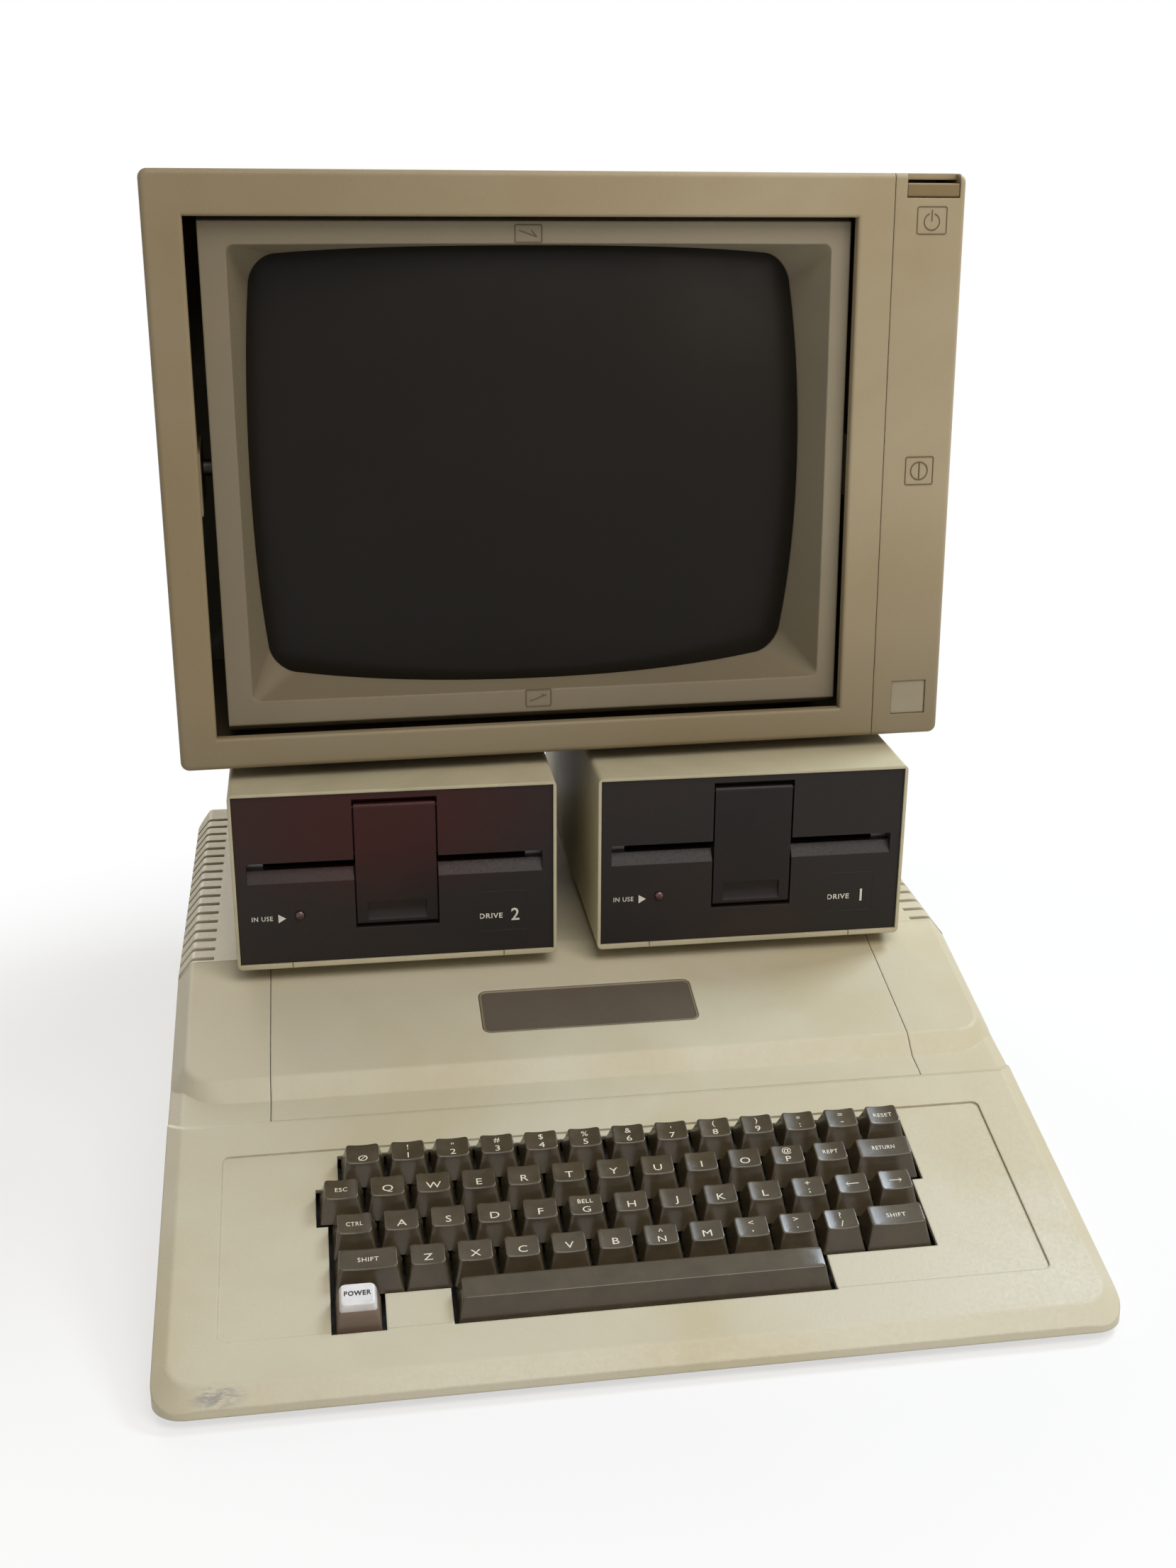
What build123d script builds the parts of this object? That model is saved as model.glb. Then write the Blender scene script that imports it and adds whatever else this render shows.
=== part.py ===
from build123d import *
import math
import os

os.makedirs("parts", exist_ok=True)

# A wedge-shaped home computer with two disk drives on its lid and a monitor on the drives.
# Millimetres. X is right, Y runs to the back, Z is up. While modelling, y = 0 is the computer's front
# edge and z = 0 the desk; the last step moves the origin to the middle of the whole set's footprint.

# Computer case: outline and walls
CASE_WIDTH = 386.0
CASE_BACK = 454.0
CASE_FRONT = 2.2
CASE_BOTTOM = 4.2
CASE_TOP = 112.0
WALL = 3.0
PLAN_RADIUS = 14.0
REAR_RADIUS = 8.0

# Keyboard deck: a raised pad with bevels all round
DECK_FRONT = (9.0, 14.1)
DECK_SLOPE = 18.0
DECK_BACK_Y = 141.5
DECK_HALF = 186.8
DECK_RADIUS = 12.0
STRIP_FRONT = (143.4, 56.4)
STRIP_SLOPE = 14.6
EDGE_SOFT = 3.0

# Raised housing behind the deck: a steep front part, a crease and a nearly flat rear part
HOUSING_FRONT = (166.0, 68.2)
HOUSING_SLOPE = 17.4
HOUSING_HALF = 186.0
CREASE_Y = 248.0
REAR_SLOPE = 5.0
LID_HALF = 148.5
SEAM = 0.3
LEDGE_DEEP = 2.0
LEDGE_BACK = 446.0
PAN_THICK = 2.0
PAN_FRONT = 8.0

# Vent slots over both shoulders
VENT_COUNT = 18
VENT_FIRST_Y = 251.4
VENT_PITCH = 10.9
VENT_WIDTH = 3.2
VENT_INNER_X = 175.5
VENT_DROP = 17.0

# Back wall openings, then the screw bosses and feet
REAR_WINDOWS = {"supply": (-168.0, -92.0, 14.0, 62.0), "jacks": (50.0, 130.0, 14.0, 32.0)}
CABLE_NOTCHES = (-40.0, 30.0, 100.0)
NOTCH = (44.0, 14.0)
NOTCH_Z = 66.0
ROCKER_AXIS = (CASE_BACK - 8.0, 34.0)
BOSSES = [(side * 180.0, y) for side in (-1, 1) for y in (34.0, 150.0, 436.0)]
BOSS_RADIUS = 4.0
SCREW_RADIUS = 1.4
FOOT_RADIUS = 9.5
FEET = [(side * 158.0, y) for side in (-1, 1) for y in (42.0, 412.0)]

# Keyboard: one unit is the pitch of a square key
UNIT = 19.05
KEY_PLANE = (70.4, 42.1)
KEY_SLOPE = 20.0
Q_CENTRE = -100.0
KEY_BASE = 18.2
KEY_TOP_WIDE = 4.6
KEY_TOP_DEEP = 3.6
KEY_TALL = 9.5
KEY_DISH_RADIUS = 34.0
KEY_DISH_SINK = 0.75
OPENING_GAP = 1.2
BOARD_DROP = 17.0
BOARD_THICK = 1.6
TOWER = 9.0
TOWER_TOP = -9.5
STEM = 4.0
STEM_FIT = 0.05
STEM_BOTTOM = -12.5
PANEL_HALF = 168.4
PANEL_Y = (27.6, 123.0)
PANEL_SINK = 0.8

# Name plate recess in the lid
PLATE_SIZE = (103.0, 31.0)
PLATE_Y = 184.8
PLATE_SINK = 1.4

# Disk drives
DRIVE_WIDE = 152.4
DRIVE_TALL = 88.9
DRIVE_DEEP = 210.0
DRIVE_FOOT = 3.5
DRIVE_FRONT = -11.5
DRIVE_CENTRES = {"left": -87.0, "right": 85.5}
SHEET = 1.5
LIP = 2.4
LIP_JOINT = 50.6
BEZEL_SINK = 1.0
BEZEL_BACK = 9.0
SLOT_Z = (49.0, 53.8)
SLOT_HALF = 69.5
LEDGE_Z = 43.0
LEDGE_SINK = 4.0
DOOR_HALF = 19.0
DOOR_Z = (20.0, 81.4)
DOOR_THICK = 3.0
DOOR_BARREL = 2.3
DOOR_PIN = 1.0
DOOR_AXIS = (BEZEL_SINK + 2.5, DOOR_Z[1] - DOOR_BARREL)
LAMP_X = -45.8
LAMP_Z = 26.8
LAMP_RADIUS = 2.3
HUB_Y = 100.0
HUB_RADIUS = 15.0
SHAFT_RADIUS = 5.0
FLOOR_Z = (38.0, 44.0)

# Monitor
SCREEN_WIDE = 368.8
SCREEN_TALL = 265.4
SCREEN_DEEP = 305.0
SLEEVE_DEEP = 170.0
SCREEN_FOOT = 6.0
SCREEN_FRONT = 11.9
SCREEN_X = 0.45
SCREEN_TURN = 1.95
SCREEN_LEAN = 2.8
SCREEN_CORNER = 4.0
SLEEVE_SOFT = 2.5
SLEEVE_FALL = 3.0
HOLE_SOFT = 1.5
PANEL_SEAM = 150.0
PANEL_THICK = 6.0
FACE_THICK = 5.0
FACE_HOLE = (-167.2, 133.2, 15.2, 246.4)
BEZEL_RIM = (-161.5, 132.2, 18.5, 244.5)
RIM_DEPTH = 8.0
DISH = (-149.8, 123.2, 30.2, 234.5)
GLASS = (-139.6, 108.4, 39.2, 229.0)
GLASS_DEPTH = 34.0
GLASS_BOW = 3.6
BEZEL_DEEP = 52.0
TUBE_RADIUS = 520.0
TUBE_FACE = 10.0
TILT_AXIS = (62.0, 131.8)
TILT_PIN = 4.0
BUTTON = (156.2, 181.0, 255.4, 265.4)
WHEEL_RADIUS = 14.0
WHEEL_THICK = 6.0
WHEEL_CENTRE = (172.9, 27.0, 131.0)
BADGE = (159.7, 177.2, 10.8, 27.6)


def tan(degrees):
    return math.tan(math.radians(degrees))


def cos(degrees):
    return math.cos(math.radians(degrees))


def slope(point, degrees):
    """A frame on a surface that rises to the back: local y runs up the slope, z is its normal."""
    return Pos(0, point[0], point[1]) * Rot(degrees, 0, 0)


def span(low, high):
    """A solid block between two corners."""
    size = [b - a for a, b in zip(low, high)]
    return Pos(*low) * Box(*size, align=Align.MIN)


def disc(radius, low, high, place=Pos(0, 0, 0)):
    """A cylinder along local z from low to high."""
    return place * Pos(0, 0, low) * Cylinder(radius, high - low, align=(Align.CENTER, Align.CENTER, Align.MIN))


def across(radius, low, high, y, z):
    """A cylinder along x from low to high."""
    return disc(radius, low, high, Pos(0, y, z) * Rot(0, 90, 0))


def outline(left, right, front, back, front_radius=0.0, back_radius=0.0):
    """A flat rectangle whose front and back corners can be rounded."""
    face = Pos((left + right) / 2, (front + back) / 2) * Rectangle(right - left, back - front)
    if front_radius:
        face = fillet(face.vertices().group_by(Axis.Y)[0], front_radius)
    if back_radius:
        face = fillet(face.vertices().group_by(Axis.Y)[-1], back_radius)
    return face


def side_profile(points, half):
    """An outline in the YZ plane, drawn out to both sides."""
    face = Plane.YZ * make_face(Polyline(*points, close=True))
    return extrude(face, half, both=True)


REAR_RISE = tan(REAR_SLOPE)
CREASE = (CREASE_Y, CASE_TOP - (CASE_BACK - CREASE_Y) * REAR_RISE)
KEYS = slope(KEY_PLANE, KEY_SLOPE)
STACK_Y = 240.0
STACK = slope((STACK_Y, CASE_TOP - (CASE_BACK - STACK_Y) * REAR_RISE), REAR_SLOPE)
DRIVES = {side: STACK * Pos(x, DRIVE_FRONT, DRIVE_FOOT) for side, x in DRIVE_CENTRES.items()}
MONITOR = STACK * Pos(SCREEN_X, SCREEN_FRONT, DRIVE_FOOT + DRIVE_TALL + SCREEN_FOOT) * Rot(0, 0, SCREEN_TURN)
FACE = MONITOR * Rot(-SCREEN_LEAN, 0, 0)
REAR_TALL = SCREEN_TALL - (SLEEVE_DEEP - SCREEN_TALL * tan(SCREEN_LEAN)) * tan(SLEEVE_FALL)


# Computer case

def bevel_pad(place, half, front, back, radii, depth, grow, soft):
    """A pad whose edges slope outward from its top outline; grow is (sides, front, back)."""
    sides, ahead, behind = grow
    widest = max(grow)
    foot_radii = [r + widest if r else 0 for r in radii]
    top = outline(-half, half, front, back, *radii)
    foot = Pos(0, 0, -depth) * outline(-half - sides, half + sides, front - ahead, back + behind, *foot_radii)
    pad = loft([foot, top], ruled=True)
    if soft:
        pad = fillet(pad.faces().sort_by(Axis.Z)[-1].edges(), soft)
    return place * pad


def below_planes(drop_deck, drop_housing, half, front, back, bottom):
    """The case's lower body, which ends a little under the pads' top planes."""
    deck_front = DECK_FRONT[1] - drop_deck
    deck_back = DECK_FRONT[1] + (DECK_BACK_Y - DECK_FRONT[0]) * tan(DECK_SLOPE) - drop_deck
    strip_end = STRIP_FRONT[1] + (HOUSING_FRONT[0] - STRIP_FRONT[0]) * tan(STRIP_SLOPE) - drop_deck
    housing_start = HOUSING_FRONT[1] + 14.0 * tan(HOUSING_SLOPE) - drop_housing
    points = [
        (front, bottom),
        (front, deck_front - 2.2),
        (DECK_FRONT[0], deck_front),
        (DECK_BACK_Y, deck_back),
        (HOUSING_FRONT[0], strip_end),
        (HOUSING_FRONT[0] + 14.0, housing_start),
        (CREASE[0], CREASE[1] - drop_housing),
        (back, CASE_TOP - drop_housing),
        (back, bottom),
    ]
    return side_profile(points, half)


def case_block(inset, bottom, soft=0.0):
    """The whole case as one block, drawn in by an inset, for both its outer and inner skins."""
    half = CASE_WIDTH / 2 - inset
    down = Pos(0, 0, -inset)
    plan = outline(-half, half, CASE_FRONT + inset, CASE_BACK - inset, PLAN_RADIUS - inset, REAR_RADIUS - inset)
    deck_length = (DECK_BACK_Y - DECK_FRONT[0]) / cos(DECK_SLOPE)
    deck = bevel_pad(slope(DECK_FRONT, DECK_SLOPE) * down, DECK_HALF - inset, inset, deck_length - inset,
                     (DECK_RADIUS - inset, 0), 8.0, (13.8, 16.7, 13.3), soft)
    strip = bevel_pad(slope(STRIP_FRONT, STRIP_SLOPE) * down, DECK_HALF - inset, -13.8, 32.0,
                      (0, 0), 8.0, (13.8, 0, 0), soft)
    crease_cut = slope(CREASE, (HOUSING_SLOPE + REAR_SLOPE) / 2)
    front_pad = bevel_pad(slope(HOUSING_FRONT, HOUSING_SLOPE) * down, HOUSING_HALF - inset, inset, 120.0,
                          (DECK_RADIUS - inset, 0), 14.0, (10.9, 29.3, 0), soft)
    front_pad &= crease_cut * span((-300, -200, -60), (300, 0, 60))
    rear_length = (CASE_BACK - CREASE[0]) / cos(REAR_SLOPE)
    rear_pad = bevel_pad(slope(CREASE, REAR_SLOPE) * down, HOUSING_HALF - inset, -60.0, rear_length + 5.0,
                         (0, 0), 14.0, (11.4, 0, 0), soft)
    rear_pad &= crease_cut * span((-300, 0, -60), (300, 260, 60))
    lower = below_planes(5.5 + inset, 11.5 + inset, half, CASE_FRONT + inset, CASE_BACK - inset, bottom)
    prism = Pos(0, 0, bottom) * extrude(plan, CASE_TOP + 20)
    return (lower + deck + strip + front_pad + rear_pad) & prism


def lid_region(clearance):
    """The space of the lid: its skin, its front bevel and its flange on the strip."""
    half = LID_HALF - clearance
    front = span((-half, STRIP_FRONT[0] + clearance, 40), (half, 300, 160))
    rear = slope(CREASE, REAR_SLOPE) * span((-half, 50, -WALL), (half, 260, 40))
    return front + rear


def key_opening():
    """The stepped opening for the keys, square to the keyboard: one rectangle for each row."""
    rows = [(2, -1.0, 12.0), (1, -1.5, 12.0), (0, -1.25, 11.75), (-1, -1.25, 11.75), (-2, -1.25, -0.25),
            (-2, 1.25, 9.25)]
    cutter = None
    for row, left, right in rows:
        block = span((Q_CENTRE + left * UNIT - OPENING_GAP, (row - 0.5) * UNIT - OPENING_GAP, -40),
                     (Q_CENTRE + right * UNIT + OPENING_GAP, (row + 0.5) * UNIT + OPENING_GAP, 20))
        cutter = block if cutter is None else cutter + block
    return KEYS * cutter


def deck_recess():
    """The shallow panel sunk in the deck round the keys."""
    deck = slope(DECK_FRONT, DECK_SLOPE)
    front, back = [(y - DECK_FRONT[0]) / cos(DECK_SLOPE) for y in PANEL_Y]
    panel = outline(-PANEL_HALF, PANEL_HALF, front, back, 3.0, 3.0)
    return deck * Pos(0, 0, -PANEL_SINK) * extrude(panel, 5.0)


def vent_slots():
    """Slots that run over both shoulders of the housing and down the sides."""
    slots = []
    for index in range(VENT_COUNT):
        y = VENT_FIRST_Y + index * VENT_PITCH
        top = CASE_TOP - (CASE_BACK - y) * REAR_RISE
        for side in (-1, 1):
            block = Box(30, VENT_WIDTH, VENT_DROP + 10, align=(Align.MIN, Align.CENTER, Align.MIN))
            x = VENT_INNER_X if side > 0 else -VENT_INNER_X - 30
            slots.append(Pos(x, y, top - VENT_DROP) * block)
    return slots


def surface_height(y):
    """The height of the case's top surface at a given y."""
    if y < DECK_BACK_Y:
        return DECK_FRONT[1] + (y - DECK_FRONT[0]) * tan(DECK_SLOPE)
    if y < HOUSING_FRONT[0]:
        return STRIP_FRONT[1] + (y - STRIP_FRONT[0]) * tan(STRIP_SLOPE)
    if y < CREASE[0]:
        return HOUSING_FRONT[1] + (y - HOUSING_FRONT[0]) * tan(HOUSING_SLOPE)
    return CASE_TOP - (CASE_BACK - y) * REAR_RISE


def rear_cutters():
    """Windows and cable notches in the case's back wall."""
    cutters = []
    for left, right, low, high in REAR_WINDOWS.values():
        cutters.append(span((left, CASE_BACK - 10, low), (right, CASE_BACK + 5, high)))
    for x in CABLE_NOTCHES:
        cutters.append(span((x - NOTCH[0] / 2, CASE_BACK - 10, NOTCH_Z),
                            (x + NOTCH[0] / 2, CASE_BACK + 5, NOTCH_Z + NOTCH[1])))
    return cutters


def upper_case(outer, inner, ledge):
    shell = outer - inner
    rails = None
    for side in (-1, 1):
        x = side * LID_HALF
        strip = (inner - ledge) & span((x - 5, STRIP_FRONT[0] + 6, 40), (x + 5, LEDGE_BACK, 160))
        rails = strip if rails is None else rails + strip
    body = shell - lid_region(0) + rails
    for x, y in BOSSES:
        boss = disc(BOSS_RADIUS, CASE_BOTTOM + PAN_THICK, surface_height(y) - 1.8, Pos(x, y, 0))
        body = body + boss - disc(SCREW_RADIUS, 0, CASE_BOTTOM + 10, Pos(x, y, 0))
    return body - key_opening() - deck_recess() - vent_slots() - rear_cutters()


def top_lid(outer, inner):
    recess = slope(HOUSING_FRONT, HOUSING_SLOPE) * Pos(0, 0, -PLATE_SINK) * extrude(plate_outline(0), 6.0)
    return ((outer - inner) & lid_region(SEAM)) - recess


def plate_outline(clearance):
    """The name plate's rounded outline on the housing's front slope."""
    start = (PLATE_Y - HOUSING_FRONT[0]) / cos(HOUSING_SLOPE)
    wide, tall = PLATE_SIZE[0] - clearance, PLATE_SIZE[1] - clearance
    return Pos(0.5, start + PLATE_SIZE[1] / 2) * RectangleRounded(wide, tall, 4.0)


def nameplate():
    return slope(HOUSING_FRONT, HOUSING_SLOPE) * Pos(0, 0, -PLATE_SINK) * extrude(plate_outline(0.4), 1.0)


def base_pan():
    half = CASE_WIDTH / 2 - WALL - 0.3
    plan = outline(-half, half, PAN_FRONT, CASE_BACK - WALL - 0.3, 10.0, 4.0)
    pan = Pos(0, 0, CASE_BOTTOM) * extrude(plan, PAN_THICK)
    for x, y in BOSSES:
        pan = pan - disc(SCREW_RADIUS + 0.4, 0, 10, Pos(x, y, 0))
    return pan


def base_screws():
    screws = []
    for x, y in BOSSES:
        head = disc(3.5, CASE_BOTTOM - 1.6, CASE_BOTTOM - 0.02, Pos(x, y, 0))
        screws.append(head + disc(SCREW_RADIUS, CASE_BOTTOM - 0.5, CASE_BOTTOM + 9.5, Pos(x, y, 0)))
    return screws


def rubber_feet():
    foot = Cone(FOOT_RADIUS - 1.5, FOOT_RADIUS, CASE_BOTTOM, align=(Align.CENTER, Align.CENTER, Align.MIN))
    return [Pos(x, y, 0) * foot for x, y in FEET]


# Inside the computer

def main_board():
    board = span((-96, 216, 11), (172, 440, 12.6))
    posts = [disc(3.0, CASE_BOTTOM + PAN_THICK, 11.2, Pos(x, y, 0)) for x in (-88, 164) for y in (224, 432)]
    chips = [span((x, y, 12.5), (x + 8, y + 19, 16.5)) for x in range(-84, 160, 21) for y in (224, 252, 280, 308)]
    for piece in posts + chips:
        board = board + piece
    return board


def expansion_slots():
    return [span((x, 346, 12.6), (x + 8, 418, 25.0)) - span((x + 3, 349, 17), (x + 5, 415, 26))
            for x in range(-80, 80, 20)]


def power_supply():
    body = span((-174, 232, CASE_BOTTOM + PAN_THICK), (-100, CASE_BACK - WALL - 0.3, 72))
    tower_hole = span((-164, CASE_BACK - 30, 20), (-132, CASE_BACK, 46))
    rocker_hole = span((-124, CASE_BACK - 30, 24), (-104, CASE_BACK, 44))
    return body - tower_hole - rocker_hole


def power_inlet():
    body = span((-164, CASE_BACK - 30, 20), (-132, CASE_BACK - 1, 46))
    socket = span((-160, CASE_BACK - 16, 24), (-136, CASE_BACK, 42))
    pins = [span((x, CASE_BACK - 17, z), (x + 4, CASE_BACK - 9, z + 2)) for x, z in ((-157, 30), (-143, 30), (-150, 37))]
    body = body - socket
    for pin in pins:
        body = body + pin
    return body


def rocker_frame():
    frame = span((-124, CASE_BACK - 30, 24), (-104, CASE_BACK - 1.5, 44))
    frame = frame - span((-121.5, CASE_BACK - 18, 26), (-106.5, CASE_BACK, 42))
    return frame - across(1.55, -123, -105, *ROCKER_AXIS)


def power_rocker():
    y, z = ROCKER_AXIS
    face = Plane.YZ * make_face(Polyline((y - 4, z - 4), (y + 7, z - 7), (y + 5.4, z), (y + 7, z + 7),
                                         (y - 4, z + 4), close=True))
    body = Pos(-114, 0, 0) * extrude(face, 7.1, both=True)
    return body + across(1.5, -122.6, -105.4, y, z)


def rear_jacks():
    left, right, low, high = REAR_WINDOWS["jacks"]
    block = span((left + 0.3, CASE_BACK - 14, low), (right - 0.3, CASE_BACK - 2, high - 0.3))
    block = block + span((left + 4, CASE_BACK - 14, 12.6), (right - 4, CASE_BACK - 6, low + 1))
    for x in (63.0, 80.0, 97.0, 116.0):
        barrel = Pos(x, CASE_BACK - 3, 23) * Rot(-90, 0, 0)
        block = block + disc(4.6, 0, 8, barrel)
        block = block - disc(2.2, 1, 9, barrel)
    return block


def speaker():
    place = Pos(-140, 190, CASE_BOTTOM + PAN_THICK)
    basket = place * Cone(12, 28, 16, align=(Align.CENTER, Align.CENTER, Align.MIN))
    cone = place * Pos(0, 0, 4) * Cone(6, 25, 13, align=(Align.CENTER, Align.CENTER, Align.MIN))
    return basket - cone + disc(7, 0, 6, place)


# Keyboard

ROW_KEYS = {
    "number_keys": (2, [i - 0.5 for i in range(12)]),
    "upper_letter_keys": (1, [float(i) for i in range(10)]),
    "home_letter_keys": (0, [i + 0.25 for i in range(10)]),
    "lower_letter_keys": (-1, [i + 0.75 for i in range(10)]),
}
SINGLE_KEYS = {
    "reset_key": (2, 11.5, 1.0),
    "escape_key": (1, -1.0, 1.0),
    "repeat_key": (1, 10.0, 1.0),
    "return_key": (1, 11.25, 1.5),
    "control_key": (0, -0.75, 1.0),
    "left_arrow_key": (0, 10.25, 1.0),
    "right_arrow_key": (0, 11.25, 1.0),
    "left_shift_key": (-1, -0.5, 1.5),
    "right_shift_key": (-1, 11.0, 1.5),
    "space_bar": (-2, 5.25, 8.0),
}
SPACE_GUIDES = (-3.0, 0.0, 3.0)
LAMP_KEY = (-2, -0.75)


def key_place(row, column):
    return KEYS * Pos(Q_CENTRE + column * UNIT, row * UNIT, 0)


def key_guides(width):
    """The places of a key's stems along its width, in units from its middle."""
    return SPACE_GUIDES if width > 4 else (0.0,)


def keycap(row, column, width):
    """A cap with sloping sides, a dished top, a hollow underside and its stem or stems."""
    wide = KEY_BASE + (width - 1) * UNIT
    foot = Pos(0, 0, -KEY_TALL) * Rectangle(wide, KEY_BASE)
    top = Rectangle(wide - KEY_TOP_WIDE, KEY_BASE - KEY_TOP_DEEP)
    cap = loft([foot, top], ruled=True)
    if width < 4:
        dish = Rot(90, 0, 0) * Cylinder(KEY_DISH_RADIUS, 40)
        cap = cap - Pos(0, 0, KEY_DISH_RADIUS - KEY_DISH_SINK) * dish
    for guide in key_guides(width):
        x = guide * UNIT
        cap = cap - span((x - 5.5, -5.5, -KEY_TALL), (x + 5.5, 5.5, -3.5))
        cap = cap + span((x - STEM / 2, -STEM / 2, STEM_BOTTOM), (x + STEM / 2, STEM / 2, -3.0))
    return key_place(row, column) * cap


def key_towers():
    """Every switch of the keyboard, standing on the board under its key."""
    towers = []
    spots = [(row, column, 1.0) for row, columns in ROW_KEYS.values() for column in columns]
    for row, column, width in spots + list(SINGLE_KEYS.values()):
        for guide in key_guides(width):
            half = TOWER / 2
            hole = STEM / 2 + STEM_FIT
            tower = span((-half, -half, -BOARD_DROP), (half, half, TOWER_TOP))
            tower = tower - span((-hole, -hole, -BOARD_DROP + 0.5), (hole, hole, 0))
            towers.append(key_place(row, column + guide) * tower)
    return towers


def keyboard_board():
    board = KEYS * span((-134, -47, -BOARD_DROP - BOARD_THICK), (134, 48, -BOARD_DROP))
    for x in (-126, 126):
        for s in (-40, 40):
            y = KEY_PLANE[0] + s * cos(KEY_SLOPE) + BOARD_DROP * math.sin(math.radians(KEY_SLOPE))
            z = KEY_PLANE[1] + s * math.sin(math.radians(KEY_SLOPE)) - (BOARD_DROP + 0.8) * cos(KEY_SLOPE)
            board = board + disc(3.0, CASE_BOTTOM + PAN_THICK, z, Pos(x, y, 0))
    return board


def lamp_base():
    foot = Pos(0, 0, -BOARD_DROP) * Rectangle(KEY_BASE, KEY_BASE)
    top = Pos(0, 0, -5.5) * Rectangle(16.4, 16.4)
    return key_place(*LAMP_KEY) * loft([foot, top], ruled=True)


def lamp_cap():
    foot = Pos(0, 0, -5.5) * RectangleRounded(13.4, 13.4, 1.5)
    top = Pos(0, 0, -0.8) * RectangleRounded(12.0, 12.0, 2.0)
    return key_place(*LAMP_KEY) * loft([foot, top], ruled=True)


# Disk drives, each in its own frame: x from its middle, y from its front, z from its sleeve's bottom

def drive_cover():
    """A folded sleeve with a closed back, open at the bottom between its two flanges."""
    half = DRIVE_WIDE / 2
    body = Plane.XZ * Pos(0, DRIVE_TALL / 2) * RectangleRounded(DRIVE_WIDE, DRIVE_TALL, 2.5)
    sleeve = extrude(body, -DRIVE_DEEP)
    hollow = span((-half + SHEET, -1, LIP), (half - SHEET, DRIVE_DEEP - SHEET, DRIVE_TALL - SHEET))
    gap = span((-LIP_JOINT, -1, -1), (LIP_JOINT, DRIVE_DEEP - SHEET, LIP + 1))
    cable = span((-20, DRIVE_DEEP - 5, 12), (20, DRIVE_DEEP + 5, 20))
    return sleeve - hollow - gap - cable


def drive_base():
    return span((-LIP_JOINT + 0.3, 0, 0), (LIP_JOINT - 0.3, DRIVE_DEEP - SHEET - 0.3, LIP))


def drive_bezel():
    """The front moulding: a disk slot with a sloping ledge, a door channel and a lamp hole."""
    half = DRIVE_WIDE / 2 - SHEET
    body = span((-half, BEZEL_SINK, LIP), (half, BEZEL_BACK, DRIVE_TALL - SHEET))
    slot = span((-SLOT_HALF, -1, SLOT_Z[0]), (SLOT_HALF, BEZEL_BACK + 1, SLOT_Z[1]))
    ledge = side_profile([(BEZEL_SINK - 1, LEDGE_Z - 1), (BEZEL_SINK - 1, SLOT_Z[0] + 1),
                          (BEZEL_SINK + LEDGE_SINK, SLOT_Z[0] + 1), (BEZEL_SINK + LEDGE_SINK, SLOT_Z[0])],
                         SLOT_HALF)
    channel = span((-DOOR_HALF - 0.8, -1, DOOR_Z[0] - 1.5), (DOOR_HALF + 0.8, BEZEL_SINK + 5.0, DOOR_Z[1] + 2.5))
    lamp = disc(LAMP_RADIUS, -1, BEZEL_BACK + 1, Pos(LAMP_X, 0, LAMP_Z) * Rot(-90, 0, 0))
    pins = across(DOOR_PIN + 0.06, -DOOR_HALF - 3.2, DOOR_HALF + 3.2, *DOOR_AXIS)
    return body - slot - ledge - channel - lamp - pins


def drive_door():
    """The flap over the disk slot, with its barrel and two stub pins."""
    y, z = DOOR_AXIS
    front = BEZEL_SINK + 0.2
    flap = span((-DOOR_HALF, front, DOOR_Z[0]), (DOOR_HALF, front + DOOR_THICK, z))
    flap = fillet(flap.edges().filter_by(Axis.X).group_by(Axis.Z)[0].sort_by(Axis.Y)[0], 1.5)
    grip = across(9.0, -DOOR_HALF + 5, DOOR_HALF - 5, front - 7.6, DOOR_Z[0] + 7)
    barrel = across(DOOR_BARREL, -DOOR_HALF, DOOR_HALF, y, z)
    pins = across(DOOR_PIN, -DOOR_HALF - 2.8, DOOR_HALF + 2.8, y, z)
    return flap - grip + barrel + pins


def drive_lamp():
    stem = Pos(LAMP_X, 0, LAMP_Z) * Rot(-90, 0, 0)
    return disc(LAMP_RADIUS, 0.6, BEZEL_BACK - 1, stem)


def drive_chassis():
    """The mechanism's frame: two side rails, a floor for the disk and a bridge above it."""
    rails = [span((side * 66 - 4, BEZEL_BACK, LIP), (side * 66 + 4, 190, 72)) for side in (-1, 1)]
    floor = span((-63, BEZEL_BACK, FLOOR_Z[0]), (63, 190, FLOOR_Z[1]))
    bridge = span((-63, 70, 64), (63, 150, 70))
    body = floor + bridge
    for rail in rails:
        body = body + rail
    return body - disc(SHAFT_RADIUS + 0.05, 20, 60, Pos(0, HUB_Y, 0))


def drive_hub():
    """The spindle: a disk hub above the floor, its shaft and the belt pulley below."""
    place = Pos(0, HUB_Y, 0)
    flange = place * Pos(0, 0, FLOOR_Z[1] + 0.3) * Cone(HUB_RADIUS, HUB_RADIUS - 3, 3.2,
                                                       align=(Align.CENTER, Align.CENTER, Align.MIN))
    return flange + disc(SHAFT_RADIUS, 22, FLOOR_Z[1] + 1, place) + disc(22, 22, 30, place)


def drive_feet():
    feet = []
    for place in DRIVES.values():
        for x in (-54, 54):
            for y in (34, 182):
                feet.append(place * disc(6.0, -DRIVE_FOOT, 0, Pos(x, y, 0)))
    return feet


# Monitor, in its own frame: x from its middle, y from its front, z from its bottom

def bowed_outline(left, right, low, high, bow, radius):
    """A screen outline in the XZ plane: four gently bowed sides and rounded corners."""
    middle_x, middle_z = (left + right) / 2, (low + high) / 2
    corners = [(left, low), (right, low), (right, high), (left, high)]
    middles = [(middle_x, low - bow), (right + bow, middle_z), (middle_x, high + bow), (left - bow, middle_z)]
    sides = [ThreePointArc(corners[i], middles[i], corners[(i + 1) % 4]) for i in range(4)]
    face = make_face(sides)
    return fillet(face.vertices(), radius)


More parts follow.
